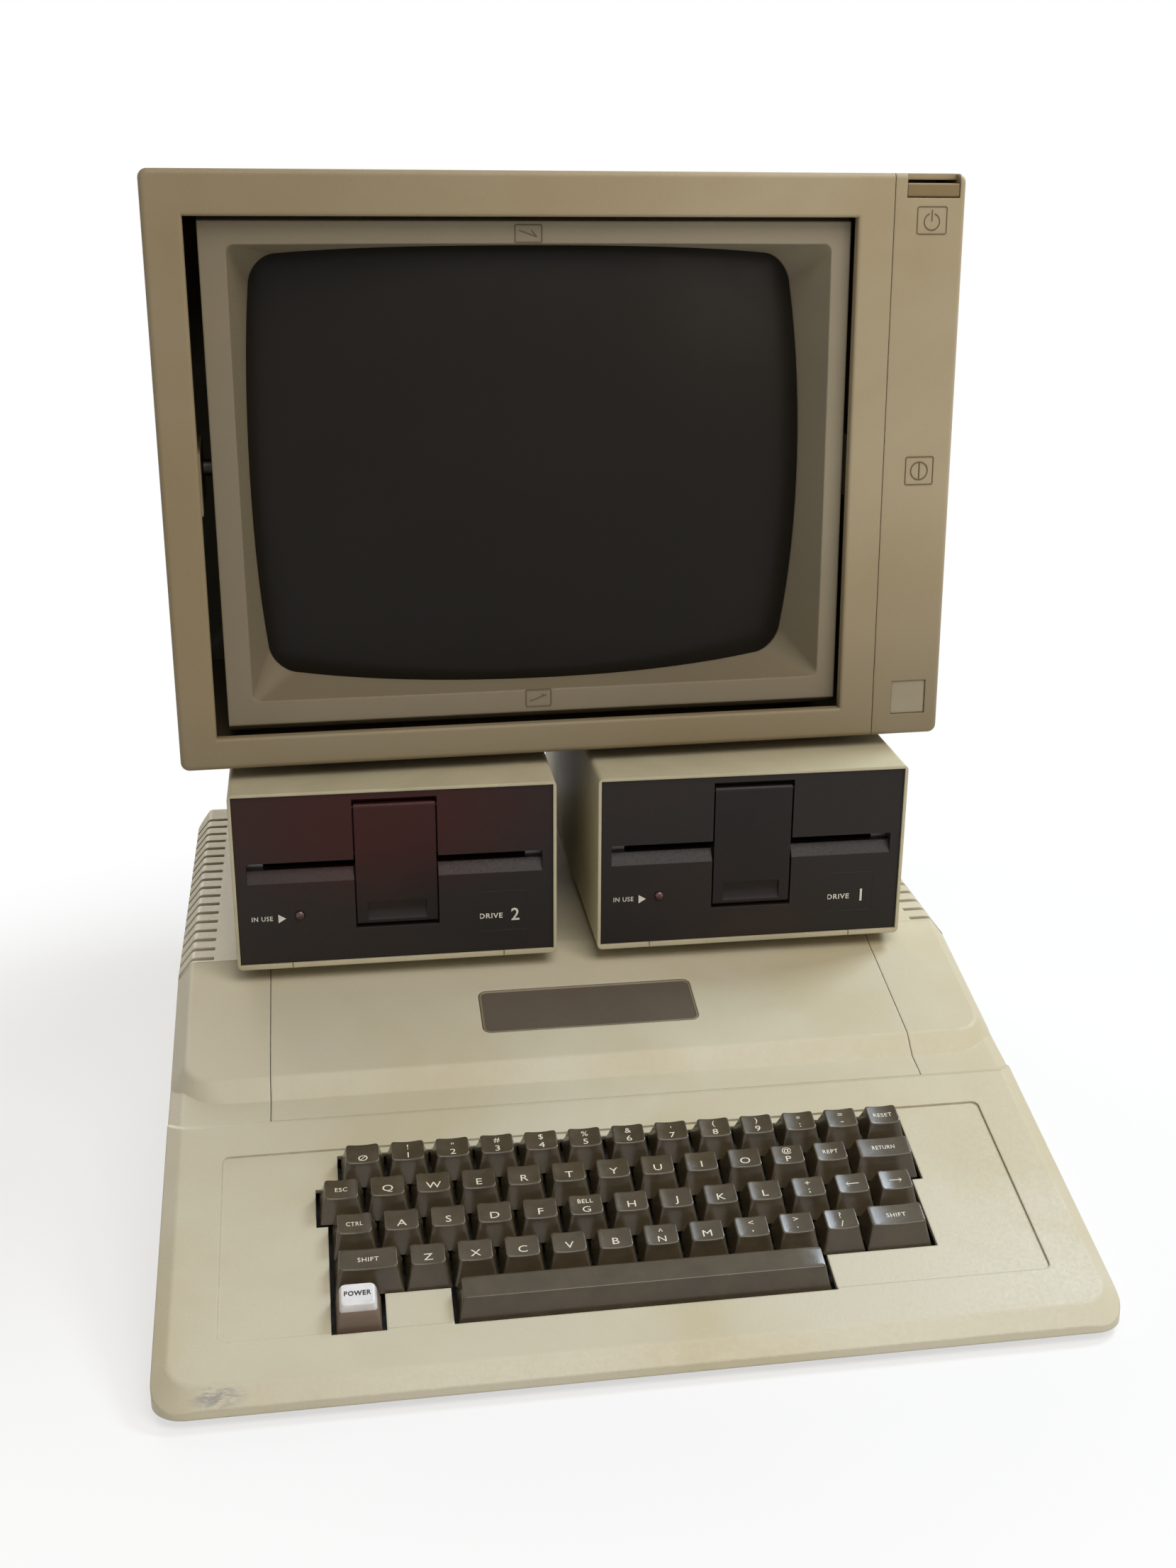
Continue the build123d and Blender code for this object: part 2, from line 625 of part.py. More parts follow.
def screen_section(depth, left, right, low, high, bow, radius):
    """A bowed outline standing upright at a given depth behind the face."""
    return Pos(0, depth, 0) * Rot(90, 0, 0) * bowed_outline(left, right, low, high, bow, radius)


def sleeve_block(inset, front, back):
    """The monitor's box, whose front leans back and whose top falls a little to the back."""
    lean = tan(SCREEN_LEAN)
    top_y, top_z = front + (SCREEN_TALL - inset) * lean, SCREEN_TALL - inset
    points = [(front + inset * lean, inset), (top_y, top_z),
              (back, top_z - (back - top_y) * tan(SLEEVE_FALL)), (back, inset)]
    return side_profile(points, SCREEN_WIDE / 2 - inset)


def soft_sleeve():
    """The monitor's box with rounded long edges and a softened front edge."""
    block = sleeve_block(0, 0, SLEEVE_DEEP)
    sleeve = fillet([edge for edge in block.edges() if abs(edge.tangent_at(0.5).Y) > 0.9], SCREEN_CORNER)
    return fillet(sleeve.faces().sort_by(Axis.Y)[0].edges(), SLEEVE_SOFT)


def monitor_case():
    sleeve = soft_sleeve()
    hollow = sleeve_block(WALL, FACE_THICK, SLEEVE_DEEP + 1)
    left, right, low, high = FACE_HOLE
    lean = Rot(-SCREEN_LEAN, 0, 0)
    hole = lean * span((left, -10, low), (right, 20, high))
    panel_room = lean * span((PANEL_SEAM, -10, -10), (200, PANEL_THICK, 300))
    wheel_room = span((SCREEN_WIDE / 2 - 6, 15.5, 127), (SCREEN_WIDE / 2 + 5, 38.5, 135))
    body = sleeve - hole
    front = body.faces().filter_by(GeomType.PLANE).sort_by(Axis.Y)[0]
    body = fillet(front.inner_wires()[0].edges(), HOLE_SOFT)
    body = body - hollow - panel_room - wheel_room
    y, z = TILT_AXIS
    for x in (-171.5, 135.5):
        ear = lean * span((x, FACE_THICK - 1, z - 14), (x + 5, y + 12, z + 14))
        ear = ear - lean * across(TILT_PIN, x - 1, x + 6, y, z)
        body = body + ear
    return MONITOR * body


def tilt_pins():
    y, z = TILT_AXIS
    return [FACE * across(TILT_PIN, -171.5, -158.0, y, z), FACE * across(TILT_PIN, 128.7, 140.5, y, z)]


def monitor_back():
    """The tapering rear cover with vent slots across its top."""
    start, end = SLEEVE_DEEP, SCREEN_DEEP
    half, middle = SCREEN_WIDE / 2, REAR_TALL / 2

    def ring(y, wide, tall, z, radius):
        return Pos(0, y, z) * Rot(90, 0, 0) * RectangleRounded(wide, tall, radius)

    outer = loft([ring(start, 2 * half - 1, 2 * middle - 1, middle, 6), ring(end, 236, 170, 118, 14)], ruled=True)
    inner = loft([ring(start - 0.1, 2 * half - 9, 2 * middle - 9, middle, 4), ring(end - WALL, 234, 168, 118, 12)],
                 ruled=True)
    body = outer - inner
    slots = [span((x, start + 30, 150), (x + 5, start + 90, 300)) for x in range(-90, 90, 18)]
    return MONITOR * (body - slots)


def control_panel():
    lean = Rot(-SCREEN_LEAN, 0, 0)
    top = SCREEN_TALL / cos(SCREEN_LEAN)
    body = lean * span((PANEL_SEAM + SEAM, 0, 0), (SCREEN_WIDE / 2, PANEL_THICK, top))
    body &= soft_sleeve()
    left, right, low, high = BUTTON
    button_room = lean * span((left - 0.3, -1, low - 0.3), (right + 0.3, 40, high + 5))
    badge_room = lean * span((BADGE[0], -1, BADGE[2]), (BADGE[1], 1.5, BADGE[3]))
    return MONITOR * (body - button_room - badge_room)


def badge_plate():
    return FACE * span((BADGE[0] + 0.2, 0.7, BADGE[2] + 0.2), (BADGE[1] - 0.2, 1.5, BADGE[3] - 0.2))


def monitor_power_button():
    left, right, low, high = BUTTON
    cap = span((left, 0.4, low), (right, 12, high - 3.9))
    cap = fillet(cap.edges().filter_by(Axis.X).group_by(Axis.Y)[0], 0.8)
    stem = span((left + 8, 11, low + 1), (right - 8, 30, low + 5))
    return FACE * (cap + stem)


def button_guide():
    """A bracket inside the case that carries the power button's stem."""
    left, right, low, high = BUTTON
    hole = 0.05
    block = span((left + 4, 21, low - 5), (right - 4, 28, low + 10))
    return FACE * (block - span((left + 8 - hole, 20, low + 1 - hole), (right - 8 + hole, 32, low + 5 + hole)))


def contrast_wheel():
    place = Pos(*WHEEL_CENTRE)
    half = WHEEL_THICK / 2
    wheel = disc(WHEEL_RADIUS, -half, half, place)
    notches = []
    for index in range(24):
        angle = index * 360 / 24
        notches.append(place * Rot(0, 0, angle) * Pos(WHEEL_RADIUS, 0, 0) * Cylinder(0.8, WHEEL_THICK + 1))
    return MONITOR * (wheel - notches - disc(2.05, -10, 10, place))


def wheel_post():
    """The contrast control's body with the spindle that the wheel turns on."""
    x, y, z = WHEEL_CENTRE
    place = Pos(x, y, z)
    body = disc(2.0, -WHEEL_THICK / 2 - 1, WHEEL_THICK / 2 + 1, place)
    body = body + disc(8.0, -WHEEL_THICK / 2 - 7, -WHEEL_THICK / 2 - 0.4, place)
    return MONITOR * (body + span((x - 6, y - 6, WALL), (x + 6, y + 6, z - WHEEL_THICK / 2 - 6)))


def picture_tube():
    """A glass bulb: a bowed face, a short skirt, a funnel and the neck."""
    left, right, low, high = GLASS
    margin = 8.0
    wide = (left - margin, right + margin, low - margin + 2, high + margin - 2)
    skirt = loft([screen_section(TUBE_FACE - 2, *wide, 0.5, 24), screen_section(62, *wide, 0.5, 24)], ruled=True)
    x, z = (left + right) / 2, (low + high) / 2
    ball = Pos(x, TUBE_FACE + TUBE_RADIUS, z) * Sphere(TUBE_RADIUS)
    face = skirt & ball
    funnel = loft([Pos(x, 61, z) * Rot(90, 0, 0) * RectangleRounded(wide[1] - wide[0] - 4, wide[3] - wide[2] - 4, 40),
                   Pos(x, 165, z) * Rot(90, 0, 0) * RectangleRounded(40, 40, 19)], ruled=True)
    neck = disc(14.5, 160, 262, Pos(x, 0, z) * Rot(-90, 0, 0))
    return face + funnel + neck


def tube_yoke():
    left, right, low, high = GLASS
    place = Pos((left + right) / 2, 0, (low + high) / 2) * Rot(-90, 0, 0)
    ring = place * Pos(0, 0, 168) * Cone(40, 30, 34, align=(Align.CENTER, Align.CENTER, Align.MIN))
    return ring - disc(14.5, 160, 262, place)


def tilt_arc(low_y, high_y, radius, left, right):
    """A drum round the tilt axis, for the bezel's curved top and bottom."""
    y, z = TILT_AXIS
    return across(radius, left, right, y, z) & span((left - 1, low_y, z - 200), (right + 1, high_y, z + 200))


def screen_bezel(tube):
    """The tilting frame round the screen: a rim, dished slopes down to the glass and two pivot ears."""
    left, right, low, high = BEZEL_RIM
    y, z = TILT_AXIS
    radius = math.hypot(y - RIM_DEPTH, high - z)
    body = tilt_arc(RIM_DEPTH, BEZEL_DEEP, radius, left, right)
    dish = loft([screen_section(RIM_DEPTH - 0.01, *DISH, 0.4, 3.0),
                 screen_section(GLASS_DEPTH, *GLASS, GLASS_BOW, 14.0)], ruled=True)
    glass_hole = extrude(screen_section(GLASS_DEPTH - 0.01, *GLASS, GLASS_BOW, 14.0), -40)
    cavity = span((left + WALL, GLASS_DEPTH + 6, z - 108), (right - WALL, BEZEL_DEEP + 1, z + 108))
    body = body - dish - glass_hole - cavity
    for x in (left, right - 5):
        ear = span((x, BEZEL_DEEP - 3, z - 16), (x + 5, y + 12, z + 16))
        body = body + ear
    bore = across(TILT_PIN + 0.06, left - 1, left + 3.6, y, z) + across(TILT_PIN + 0.06, right - 3.6, right + 1, y, z)
    return body - bore - tube


def monitor_board():
    board = span((-40, 74, 10), (150, 164, 11.6))
    posts = [disc(3.0, WALL, 10.2, Pos(x, y, 0)) for x in (-34, 144) for y in (80, 158)]
    coil = span((96, 104, 11), (138, 146, 60))
    for piece in posts + [coil]:
        board = board + piece
    return MONITOR * board


def monitor_feet():
    return [MONITOR * disc(9.0, -SCREEN_FOOT, 0, Pos(x, y, 0)) for x in (-118, 118) for y in (28, 160)]


def build():
    """Every node by name, in the modelling frame."""
    outer = case_block(0, CASE_BOTTOM, EDGE_SOFT)
    inner = case_block(WALL, CASE_BOTTOM - 10)
    ledge = case_block(WALL + LEDGE_DEEP, CASE_BOTTOM - 10)
    nodes = {
        "upper_case": upper_case(outer, inner, ledge),
        "top_lid": top_lid(outer, inner),
        "nameplate": nameplate(),
        "base_pan": base_pan(),
        "base_screws": base_screws(),
        "rubber_feet": rubber_feet(),
        "main_board": main_board(),
        "expansion_slots": expansion_slots(),
        "power_supply": power_supply(),
        "power_inlet": power_inlet(),
        "rocker_frame": rocker_frame(),
        "power_rocker": power_rocker(),
        "rear_jacks": rear_jacks(),
        "speaker": speaker(),
        "keyboard_board": keyboard_board(),
        "key_switches": key_towers(),
        "power_lamp_base": lamp_base(),
        "power_lamp_cap": lamp_cap(),
    }
    for name, (row, columns) in ROW_KEYS.items():
        nodes[name] = [keycap(row, column, 1.0) for column in columns]
    for name, spot in SINGLE_KEYS.items():
        nodes[name] = keycap(*spot)
    makers = {"cover": drive_cover, "base": drive_base, "bezel": drive_bezel, "door": drive_door,
              "lamp": drive_lamp, "chassis": drive_chassis, "hub": drive_hub}
    for side, place in DRIVES.items():
        for piece, maker in makers.items():
            nodes[f"{side}_drive_{piece}"] = place * maker()
    nodes["drive_feet"] = drive_feet()
    tube = picture_tube()
    nodes["monitor_case"] = monitor_case() + button_guide()
    nodes["monitor_back"] = monitor_back()
    nodes["control_panel"] = control_panel()
    nodes["badge_plate"] = badge_plate()
    nodes["monitor_power_button"] = monitor_power_button()
    nodes["contrast_wheel"] = contrast_wheel()
    nodes["contrast_control"] = wheel_post()
    nodes["tilt_pins"] = tilt_pins()
    nodes["screen_bezel"] = FACE * screen_bezel(tube)
    nodes["picture_tube"] = FACE * tube
    nodes["tube_yoke"] = FACE * tube_yoke()
    nodes["monitor_board"] = monitor_board()
    nodes["monitor_feet"] = monitor_feet()
    return nodes


def as_shape(piece):
    """One exportable shape from a solid or a list of separate solids."""
    solids = []
    for item in piece if isinstance(piece, (list, tuple)) else [piece]:
        solids.extend(item.solids())
    return solids[0] if len(solids) == 1 else Compound(children=solids)


NODES = {name: as_shape(piece) for name, piece in build().items()}
BOX = Compound(children=[Compound(children=list(shape.solids())) for shape in NODES.values()]).bounding_box()
ORIGIN = Pos(-(BOX.min.X + BOX.max.X) / 2, -(BOX.min.Y + BOX.max.Y) / 2, -BOX.min.Z)

for name, shape in NODES.items():
    export_step(ORIGIN * shape, f"parts/{name}.step")
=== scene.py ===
"""Looks of a desk-top home computer with two disk drives and a monitor, laid out as an add-on."""
import math

import bmesh
import bpy
from mathutils import Matrix, Vector


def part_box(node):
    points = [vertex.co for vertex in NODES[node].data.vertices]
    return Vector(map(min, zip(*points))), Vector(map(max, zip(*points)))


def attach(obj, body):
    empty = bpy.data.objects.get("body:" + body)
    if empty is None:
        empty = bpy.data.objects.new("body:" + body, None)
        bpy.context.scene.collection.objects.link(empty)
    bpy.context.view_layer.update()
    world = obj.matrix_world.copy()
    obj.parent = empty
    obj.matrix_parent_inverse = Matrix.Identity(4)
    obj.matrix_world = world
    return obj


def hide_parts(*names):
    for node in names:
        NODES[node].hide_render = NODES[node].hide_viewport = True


bl_info = {
    "name": "Home Computer Set",
    "version": (1, 0, 0),
    "blender": (4, 5, 0),
    "location": "View3D > Sidebar > Home Computer",
    "description": "Dresses the packed home computer, its disk drives and its monitor",
    "category": "Object",
}

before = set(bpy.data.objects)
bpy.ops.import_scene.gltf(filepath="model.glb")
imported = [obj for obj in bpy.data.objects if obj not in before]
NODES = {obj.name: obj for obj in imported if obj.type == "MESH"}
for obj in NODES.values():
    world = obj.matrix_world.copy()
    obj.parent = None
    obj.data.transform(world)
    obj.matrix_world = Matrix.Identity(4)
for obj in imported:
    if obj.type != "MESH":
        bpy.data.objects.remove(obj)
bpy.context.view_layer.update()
CASE_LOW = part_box("upper_case")[0]

# Millimetre frames of the part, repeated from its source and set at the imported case's front edge
CASE_FRONT = 2.2
PART = Matrix.Translation((0, CASE_LOW.y - CASE_FRONT / 1000, 0)) @ Matrix.Scale(0.001, 4)


def tilted(y, z, degrees):
    """A frame whose y axis rises to the back at an angle."""
    return PART @ Matrix.Translation((0, y, z)) @ Matrix.Rotation(math.radians(degrees), 4, "X")


KEYS = tilted(70.4, 42.1, 20.0)
HOUSING_SLOPE = 17.4
HOUSING = tilted(166.0, 68.2, HOUSING_SLOPE)
STACK = tilted(240.0, 93.277, 5.0)
DRIVES = {"left": STACK @ Matrix.Translation((-87.0, -11.5, 3.5)),
          "right": STACK @ Matrix.Translation((85.5, -11.5, 3.5))}
MONITOR = STACK @ Matrix.Translation((0.45, 11.9, 98.4)) @ Matrix.Rotation(math.radians(1.95), 4, "Z")
FACE = MONITOR @ Matrix.Rotation(math.radians(-2.8), 4, "X")

# The keys, in millimetres
UNIT = 19.05         # pitch
Q_CENTRE = -100.0    # middle of the Q key across the case
KEY_BASE = 18.2      # a cap's foot
KEY_TALL = 9.5       # from its foot to its top
TOP_BACK = 7.3       # back edge of its top
TOP_FRONT = -3.4     # front edge of its top
SIDE_LEAN = 2.3      # lean of its sides, from foot to top
RIM_ROUND = 0.55     # rounding round its top
FOOT_LIP = 0.12      # step at its foot
ROOF = -5.0          # roof of the hollow under it
STEM_HALF = 2.0      # half its stem's width
STEM_TIP = -12.3     # its stem's lower end
LEGEND_LIFT = 0.045  # ink above the plastic

# Each body's keys: row, column in units, width in units, and the upper and lower words on the cap
NUMBER_KEYS = [("", "Ø"), ("!", "1"), ('"', "2"), ("#", "3"), ("$", "4"), ("%", "5"), ("&", "6"),
               ("'", "7"), ("(", "8"), (")", "9"), ("*", ":"), ("=", "-")]
UPPER_KEYS = [("", letter) for letter in "QWERTYUIO"] + [("@", "P")]
HOME_KEYS = ([("", letter) for letter in "ASDF"] + [("BELL", "G")]
             + [("", letter) for letter in "HJKL"] + [("+", ";")])
LOWER_KEYS = ([("", letter) for letter in "ZXCVB"]
              + [("^", "N"), ("", "M"), ("<", ","), (">", "."), ("?", "/")])
KEY_BODIES = {
    "number_keys": [(2, i - 0.5, 1.0, words) for i, words in enumerate(NUMBER_KEYS)],
    "upper_letter_keys": [(1, float(i), 1.0, words) for i, words in enumerate(UPPER_KEYS)],
    "home_letter_keys": [(0, i + 0.25, 1.0, words) for i, words in enumerate(HOME_KEYS)],
    "lower_letter_keys": [(-1, i + 0.75, 1.0, words) for i, words in enumerate(LOWER_KEYS)],
    "reset_key": [(2, 11.5, 1.0, ("", "RESET"))],
    "escape_key": [(1, -1.0, 1.0, ("", "ESC"))],
    "repeat_key": [(1, 10.0, 1.0, ("", "REPT"))],
    "return_key": [(1, 11.25, 1.5, ("", "RETURN"))],
    "control_key": [(0, -0.75, 1.0, ("", "CTRL"))],
    "left_arrow_key": [(0, 10.25, 1.0, ("", "left"))],
    "right_arrow_key": [(0, 11.25, 1.0, ("", "right"))],
    "left_shift_key": [(-1, -0.5, 1.5, ("", "SHIFT"))],
    "right_shift_key": [(-1, 11.0, 1.5, ("", "SHIFT"))],
    "space_bar": [(-2, 5.25, 8.0, ("", ""))],
}
LAMP_KEY = (-2, -0.75)

# The bare name plate on the housing's slope
PLATE_CENTRE = Vector((0.5, 18.8 / math.cos(math.radians(HOUSING_SLOPE)) + 15.5, -0.4))
PLATE_HALF_X, PLATE_HALF_Y, PLATE_CORNER = 51.3, 15.3, 3.8

# The photograph's viewpoint, solved from the corners of the keys
CAMERA_PLACE = (-114.63, -620.40, 415.97)
CAMERA_YAW, CAMERA_PITCH = 0.1679, 0.2772
CAMERA_SHIFT = (-0.0421, 0.0136)

# What every colour setting shares
SCREEN_COLOUR = {"subtype": "COLOR_GAMMA", "size": 3, "min": 0, "max": 1}


class CaseLook(bpy.types.PropertyGroup):
    """Colours and surface of the cream housings."""
    case_colour: bpy.props.FloatVectorProperty(
        name="Case Colour", description="Moulded cream of the computer's case",
        default=(0.80, 0.772, 0.685), **SCREEN_COLOUR)
    aged_colour: bpy.props.FloatVectorProperty(
        name="Aged Colour", description="Yellowed tone in the case's patches",
        default=(0.765, 0.72, 0.60), **SCREEN_COLOUR)
    # Painted shade: the monitor is the case's beige plastic, and this colour is set darker to stand in for
    # the shade on its upright faces.
    monitor_shaded_colour: bpy.props.FloatVectorProperty(
        name="Monitor Colour", description="Moulded beige of the monitor",
        default=(0.67, 0.615, 0.505), **SCREEN_COLOUR)
    sleeve_colour: bpy.props.FloatVectorProperty(
        name="Sleeve Colour", description="Paint on the disk drives' steel sleeves",
        default=(0.77, 0.735, 0.62), **SCREEN_COLOUR)
    grain_size: bpy.props.FloatProperty(
        name="Grain Size", description="Width of one pebble of the moulded texture", unit="LENGTH",
        default=0.0011, min=0.0001, max=0.01)


class KeyLook(bpy.types.PropertyGroup):
    """Colours and sizes of the keys."""
    key_colour: bpy.props.FloatVectorProperty(
        name="Key Colour", description="Dark olive brown of the caps",
        default=(0.315, 0.275, 0.205), **SCREEN_COLOUR)
    legend_colour: bpy.props.FloatVectorProperty(
        name="Legend Colour", description="Moulded letters on the caps",
        default=(0.90, 0.88, 0.80), **SCREEN_COLOUR)
    dish_depth: bpy.props.FloatProperty(
        name="Dish Depth", description="Depth of the hollow in a cap's top", unit="LENGTH",
        default=0.00075, min=0.0, max=0.002)
    letter_height: bpy.props.FloatProperty(
        name="Letter Height", description="Height of a single letter on a cap", unit="LENGTH",
        default=0.0035, min=0.001, max=0.006)


class DriveLook(bpy.types.PropertyGroup):
    """Colours of the disk drives' fronts."""
    bezel_colour: bpy.props.FloatVectorProperty(
        name="Bezel Colour", description="Black moulding of a drive's front",
        default=(0.155, 0.14, 0.135), **SCREEN_COLOUR)
    print_colour: bpy.props.FloatVectorProperty(
        name="Print Colour", description="Words printed on a drive's front",
        default=(0.88, 0.86, 0.82), **SCREEN_COLOUR)


class StageLook(bpy.types.PropertyGroup):
    """Camera and lights."""
    lens: bpy.props.FloatProperty(
        name="Lens", description="Focal length of the camera in millimetres", default=57.02, min=10, max=300)
    key_power: bpy.props.FloatProperty(
        name="Main Lamp", description="Power of the lamp behind and to the right", unit="POWER",
        default=13.0, min=0, max=500)
    top_power: bpy.props.FloatProperty(
        name="Top Lamp", description="Power of the large soft lamp overhead", unit="POWER",
        default=18.0, min=0, max=500)
    fill_power: bpy.props.FloatProperty(
        name="Fill Lamp", description="Power of the warm lamp at the front right", unit="POWER",
        default=3.0, min=0, max=500)
    back_power: bpy.props.FloatProperty(
        name="Back Lamp", description="Power of the soft lamp behind and to the left", unit="POWER",
        default=12.0, min=0, max=500)
    sky: bpy.props.FloatProperty(
        name="Sky", description="Strength of the even light from all round", default=0.16, min=0, max=2)


class HomeComputerLook(bpy.types.PropertyGroup):
    """All settings of the set."""
    case: bpy.props.PointerProperty(type=CaseLook)
    keys: bpy.props.PointerProperty(type=KeyLook)
    drives: bpy.props.PointerProperty(type=DriveLook)
    stage: bpy.props.PointerProperty(type=StageLook)


# Shader helpers

def linear(colour, gain=1.0):
    """A screen colour as the linear value that the shaders take."""
    curve = (c / 12.92 if c <= 0.04045 else ((c + 0.055) / 1.055) ** 2.4 for c in colour)
    return tuple(gain * c for c in curve) + (1.0,)


def toned(colour, factor):
    """A screen colour made darker or lighter."""
    return [min(1.0, c * factor) for c in colour]


class Shader:
    """A material's node tree with short calls for adding and joining nodes."""

    def __init__(self, name, base):
        self.material = bpy.data.materials.new(name)
        self.material.use_nodes = True
        self.material.diffuse_color = base
        self.tree = self.material.node_tree
        self.surface = self.tree.nodes["Principled BSDF"]
        self.surface.inputs["Base Color"].default_value = base
        self.place = self.add("ShaderNodeTexCoord").outputs["Object"]
        self.colour = None

    def add(self, kind, inputs=None, **settings):
        """A new node; an input is a value or another node's socket."""
        node = self.tree.nodes.new(kind)
        row, column = divmod(len(self.tree.nodes), 7)
        node.location = (-260 * column - 200, 300 - 180 * row)
        for key, value in settings.items():
            setattr(node, key, value)
        for key, value in (inputs or {}).items():
            if isinstance(value, bpy.types.NodeSocket):
                self.tree.links.new(value, node.inputs[key])
            else:
                node.inputs[key].default_value = value
        return node

    def noise(self, scale, detail=2.0, rough=0.5, place=None, distortion=0.0):
        inputs = {"Vector": place or self.place, "Scale": scale, "Detail": detail, "Roughness": rough,
                  "Distortion": distortion}
        return self.add("ShaderNodeTexNoise", inputs).outputs["Fac"]

    def ramp(self, value, low, high, to_low=0.0, to_high=1.0):
        """A value carried from one range to another, held at its ends."""
        inputs = {"Value": value, "From Min": low, "From Max": high, "To Min": to_low, "To Max": to_high}
        return self.add("ShaderNodeMapRange", inputs, interpolation_type="SMOOTHSTEP").outputs["Result"]

    def maths(self, operation, first, second=0.0, third=0.0):
        return self.add("ShaderNodeMath", {0: first, 1: second, 2: third}, operation=operation).outputs[0]

    def mix(self, amount, first, second):
        return self.add("ShaderNodeMix", {0: amount, 6: first, 7: second}, data_type="RGBA").outputs[2]

    def tint(self, amount, colour):
        """Lays a colour over what is there, by an amount."""
        self.colour = self.mix(amount, self.colour, colour)

    def edges(self, radius):
        """1 along edges and 0 on flats, from how far the rounded normal leaves the real one."""
        rounded = self.add("ShaderNodeBevel", {"Radius": radius}, samples=4).outputs["Normal"]
        real = self.add("ShaderNodeNewGeometry").outputs["Normal"]
        turn = self.add("ShaderNodeVectorMath", {0: rounded, 1: real}, operation="DOT_PRODUCT")
        return rounded, self.ramp(turn.outputs["Value"], 0.995, 0.90)

    def spot(self, point, radius, stretch=(1.0, 1.0, 1.0)):
        """1 at a point of the object, fading to 0 at a radius."""
        away = self.add("ShaderNodeVectorMath", {0: self.place, 1: tuple(point)}, operation="SUBTRACT")
        scaled = self.add("ShaderNodeVectorMath", {0: away.outputs[0], 1: stretch}, operation="MULTIPLY")
        length = self.add("ShaderNodeVectorMath", {0: scaled.outputs[0]}, operation="LENGTH")
        return self.ramp(length.outputs["Value"], radius, radius * 0.2)

    def finish(self, rough, bump, distance, strength, normal=None):
        """Joins the colour, the roughness and a bump, on the rounded normal if there is one."""
        self.tree.links.new(self.colour, self.surface.inputs["Base Color"])
        if isinstance(rough, bpy.types.NodeSocket):
            self.tree.links.new(rough, self.surface.inputs["Roughness"])
        else:
            self.surface.inputs["Roughness"].default_value = rough
        inputs = {"Height": bump, "Distance": distance, "Strength": strength}
        if normal is not None:
            inputs["Normal"] = normal
        result = self.add("ShaderNodeBump", inputs).outputs["Normal"]
        self.tree.links.new(result, self.surface.inputs["Normal"])
        return self.material


def moulded(name, colour, aged, grain, rough=0.5, depth=0.00012, strength=0.55, soft=0.0008, hollow_shade=0.35,
            worn=None, patches=9.0, extra=None, shine=0.5):
    """A moulded plastic or textured paint: pebbled grain, aged patches, worn edges and painted shade in
    corners and hollows, found by an ambient-occlusion node and laid in uneven patches.
    """
    base = linear(colour)
    shader = Shader(name, base)
    patch = shader.ramp(shader.noise(patches, 4.0, 0.6, distortion=0.4), 0.38, 0.68)
    shader.colour = shader.mix(patch, base, linear(aged))
    speckle = shader.noise(0.55 / grain, 2.0, 0.7)
    shader.tint(shader.ramp(speckle, 0.30, 0.75, 0.0, 0.05), linear(aged, 0.7))
    shader.surface.inputs["Specular IOR Level"].default_value = shine
    rounded, edge = shader.edges(soft)
    scratch = shader.ramp(shader.noise(190.0, 3.0, 0.7), 0.42, 0.62)
    shader.tint(shader.maths("MULTIPLY", shader.maths("MULTIPLY", edge, scratch), 0.35),
                linear(worn or toned(colour, 1.12)))
    # Painted shade: the colour darkens where the ambient-occlusion node finds surfaces close by, in uneven
    # patches.
    if hollow_shade:
        occluded_share = shader.add("ShaderNodeAmbientOcclusion", {"Distance": 0.012}, samples=4).outputs["AO"]
        hollow_shade_mask = shader.maths("MULTIPLY", shader.ramp(occluded_share, 0.75, 0.15),
                            shader.ramp(patch, -0.5, 1.0, 0.5, 1.0))
        shader.tint(shader.maths("MULTIPLY", hollow_shade_mask, hollow_shade), linear(toned(aged, 0.55)))
    if extra:
        extra(shader)
    fine = shader.noise(1.0 / grain, 3.0, 0.62)
    pebble = shader.add("ShaderNodeTexVoronoi", {"Vector": shader.place, "Scale": 0.8 / grain},
                        feature="SMOOTH_F1").outputs["Distance"]
    height = shader.maths("ADD", shader.maths("MULTIPLY", fine, 0.8), shader.maths("MULTIPLY", pebble, 0.45))
    gloss = shader.maths("ADD", shader.ramp(speckle, 0.2, 0.8, rough - 0.07, rough + 0.09),
                         shader.maths("MULTIPLY", patch, 0.05))
    return shader.finish(gloss, height, depth, strength, rounded)


def brushed(name, colour, rough=0.35, along=(1.0, 30.0, 30.0)):
    """Sheet steel with drawn lines and dull patches."""
    base = linear(colour)
    shader = Shader(name, base)
    stretched = shader.add("ShaderNodeMapping", {"Vector": shader.place, "Scale": along}).outputs["Vector"]
    lines = shader.noise(60.0, 4.0, 0.7, place=stretched)
    dull = shader.noise(26.0, 3.0, 0.6)
    shader.colour = shader.mix(shader.ramp(dull, 0.35, 0.7), base, linear(toned(colour, 0.72)))
    shader.surface.inputs["Metallic"].default_value = 1.0
    rounded, edge = shader.edges(0.0004)
    shader.tint(shader.maths("MULTIPLY", edge, 0.4), linear(toned(colour, 1.2)))
    gloss = shader.ramp(shader.maths("ADD", lines, dull), 0.6, 1.4, rough - 0.08, rough + 0.18)
    return shader.finish(gloss, lines, 0.00006, 0.5, rounded)


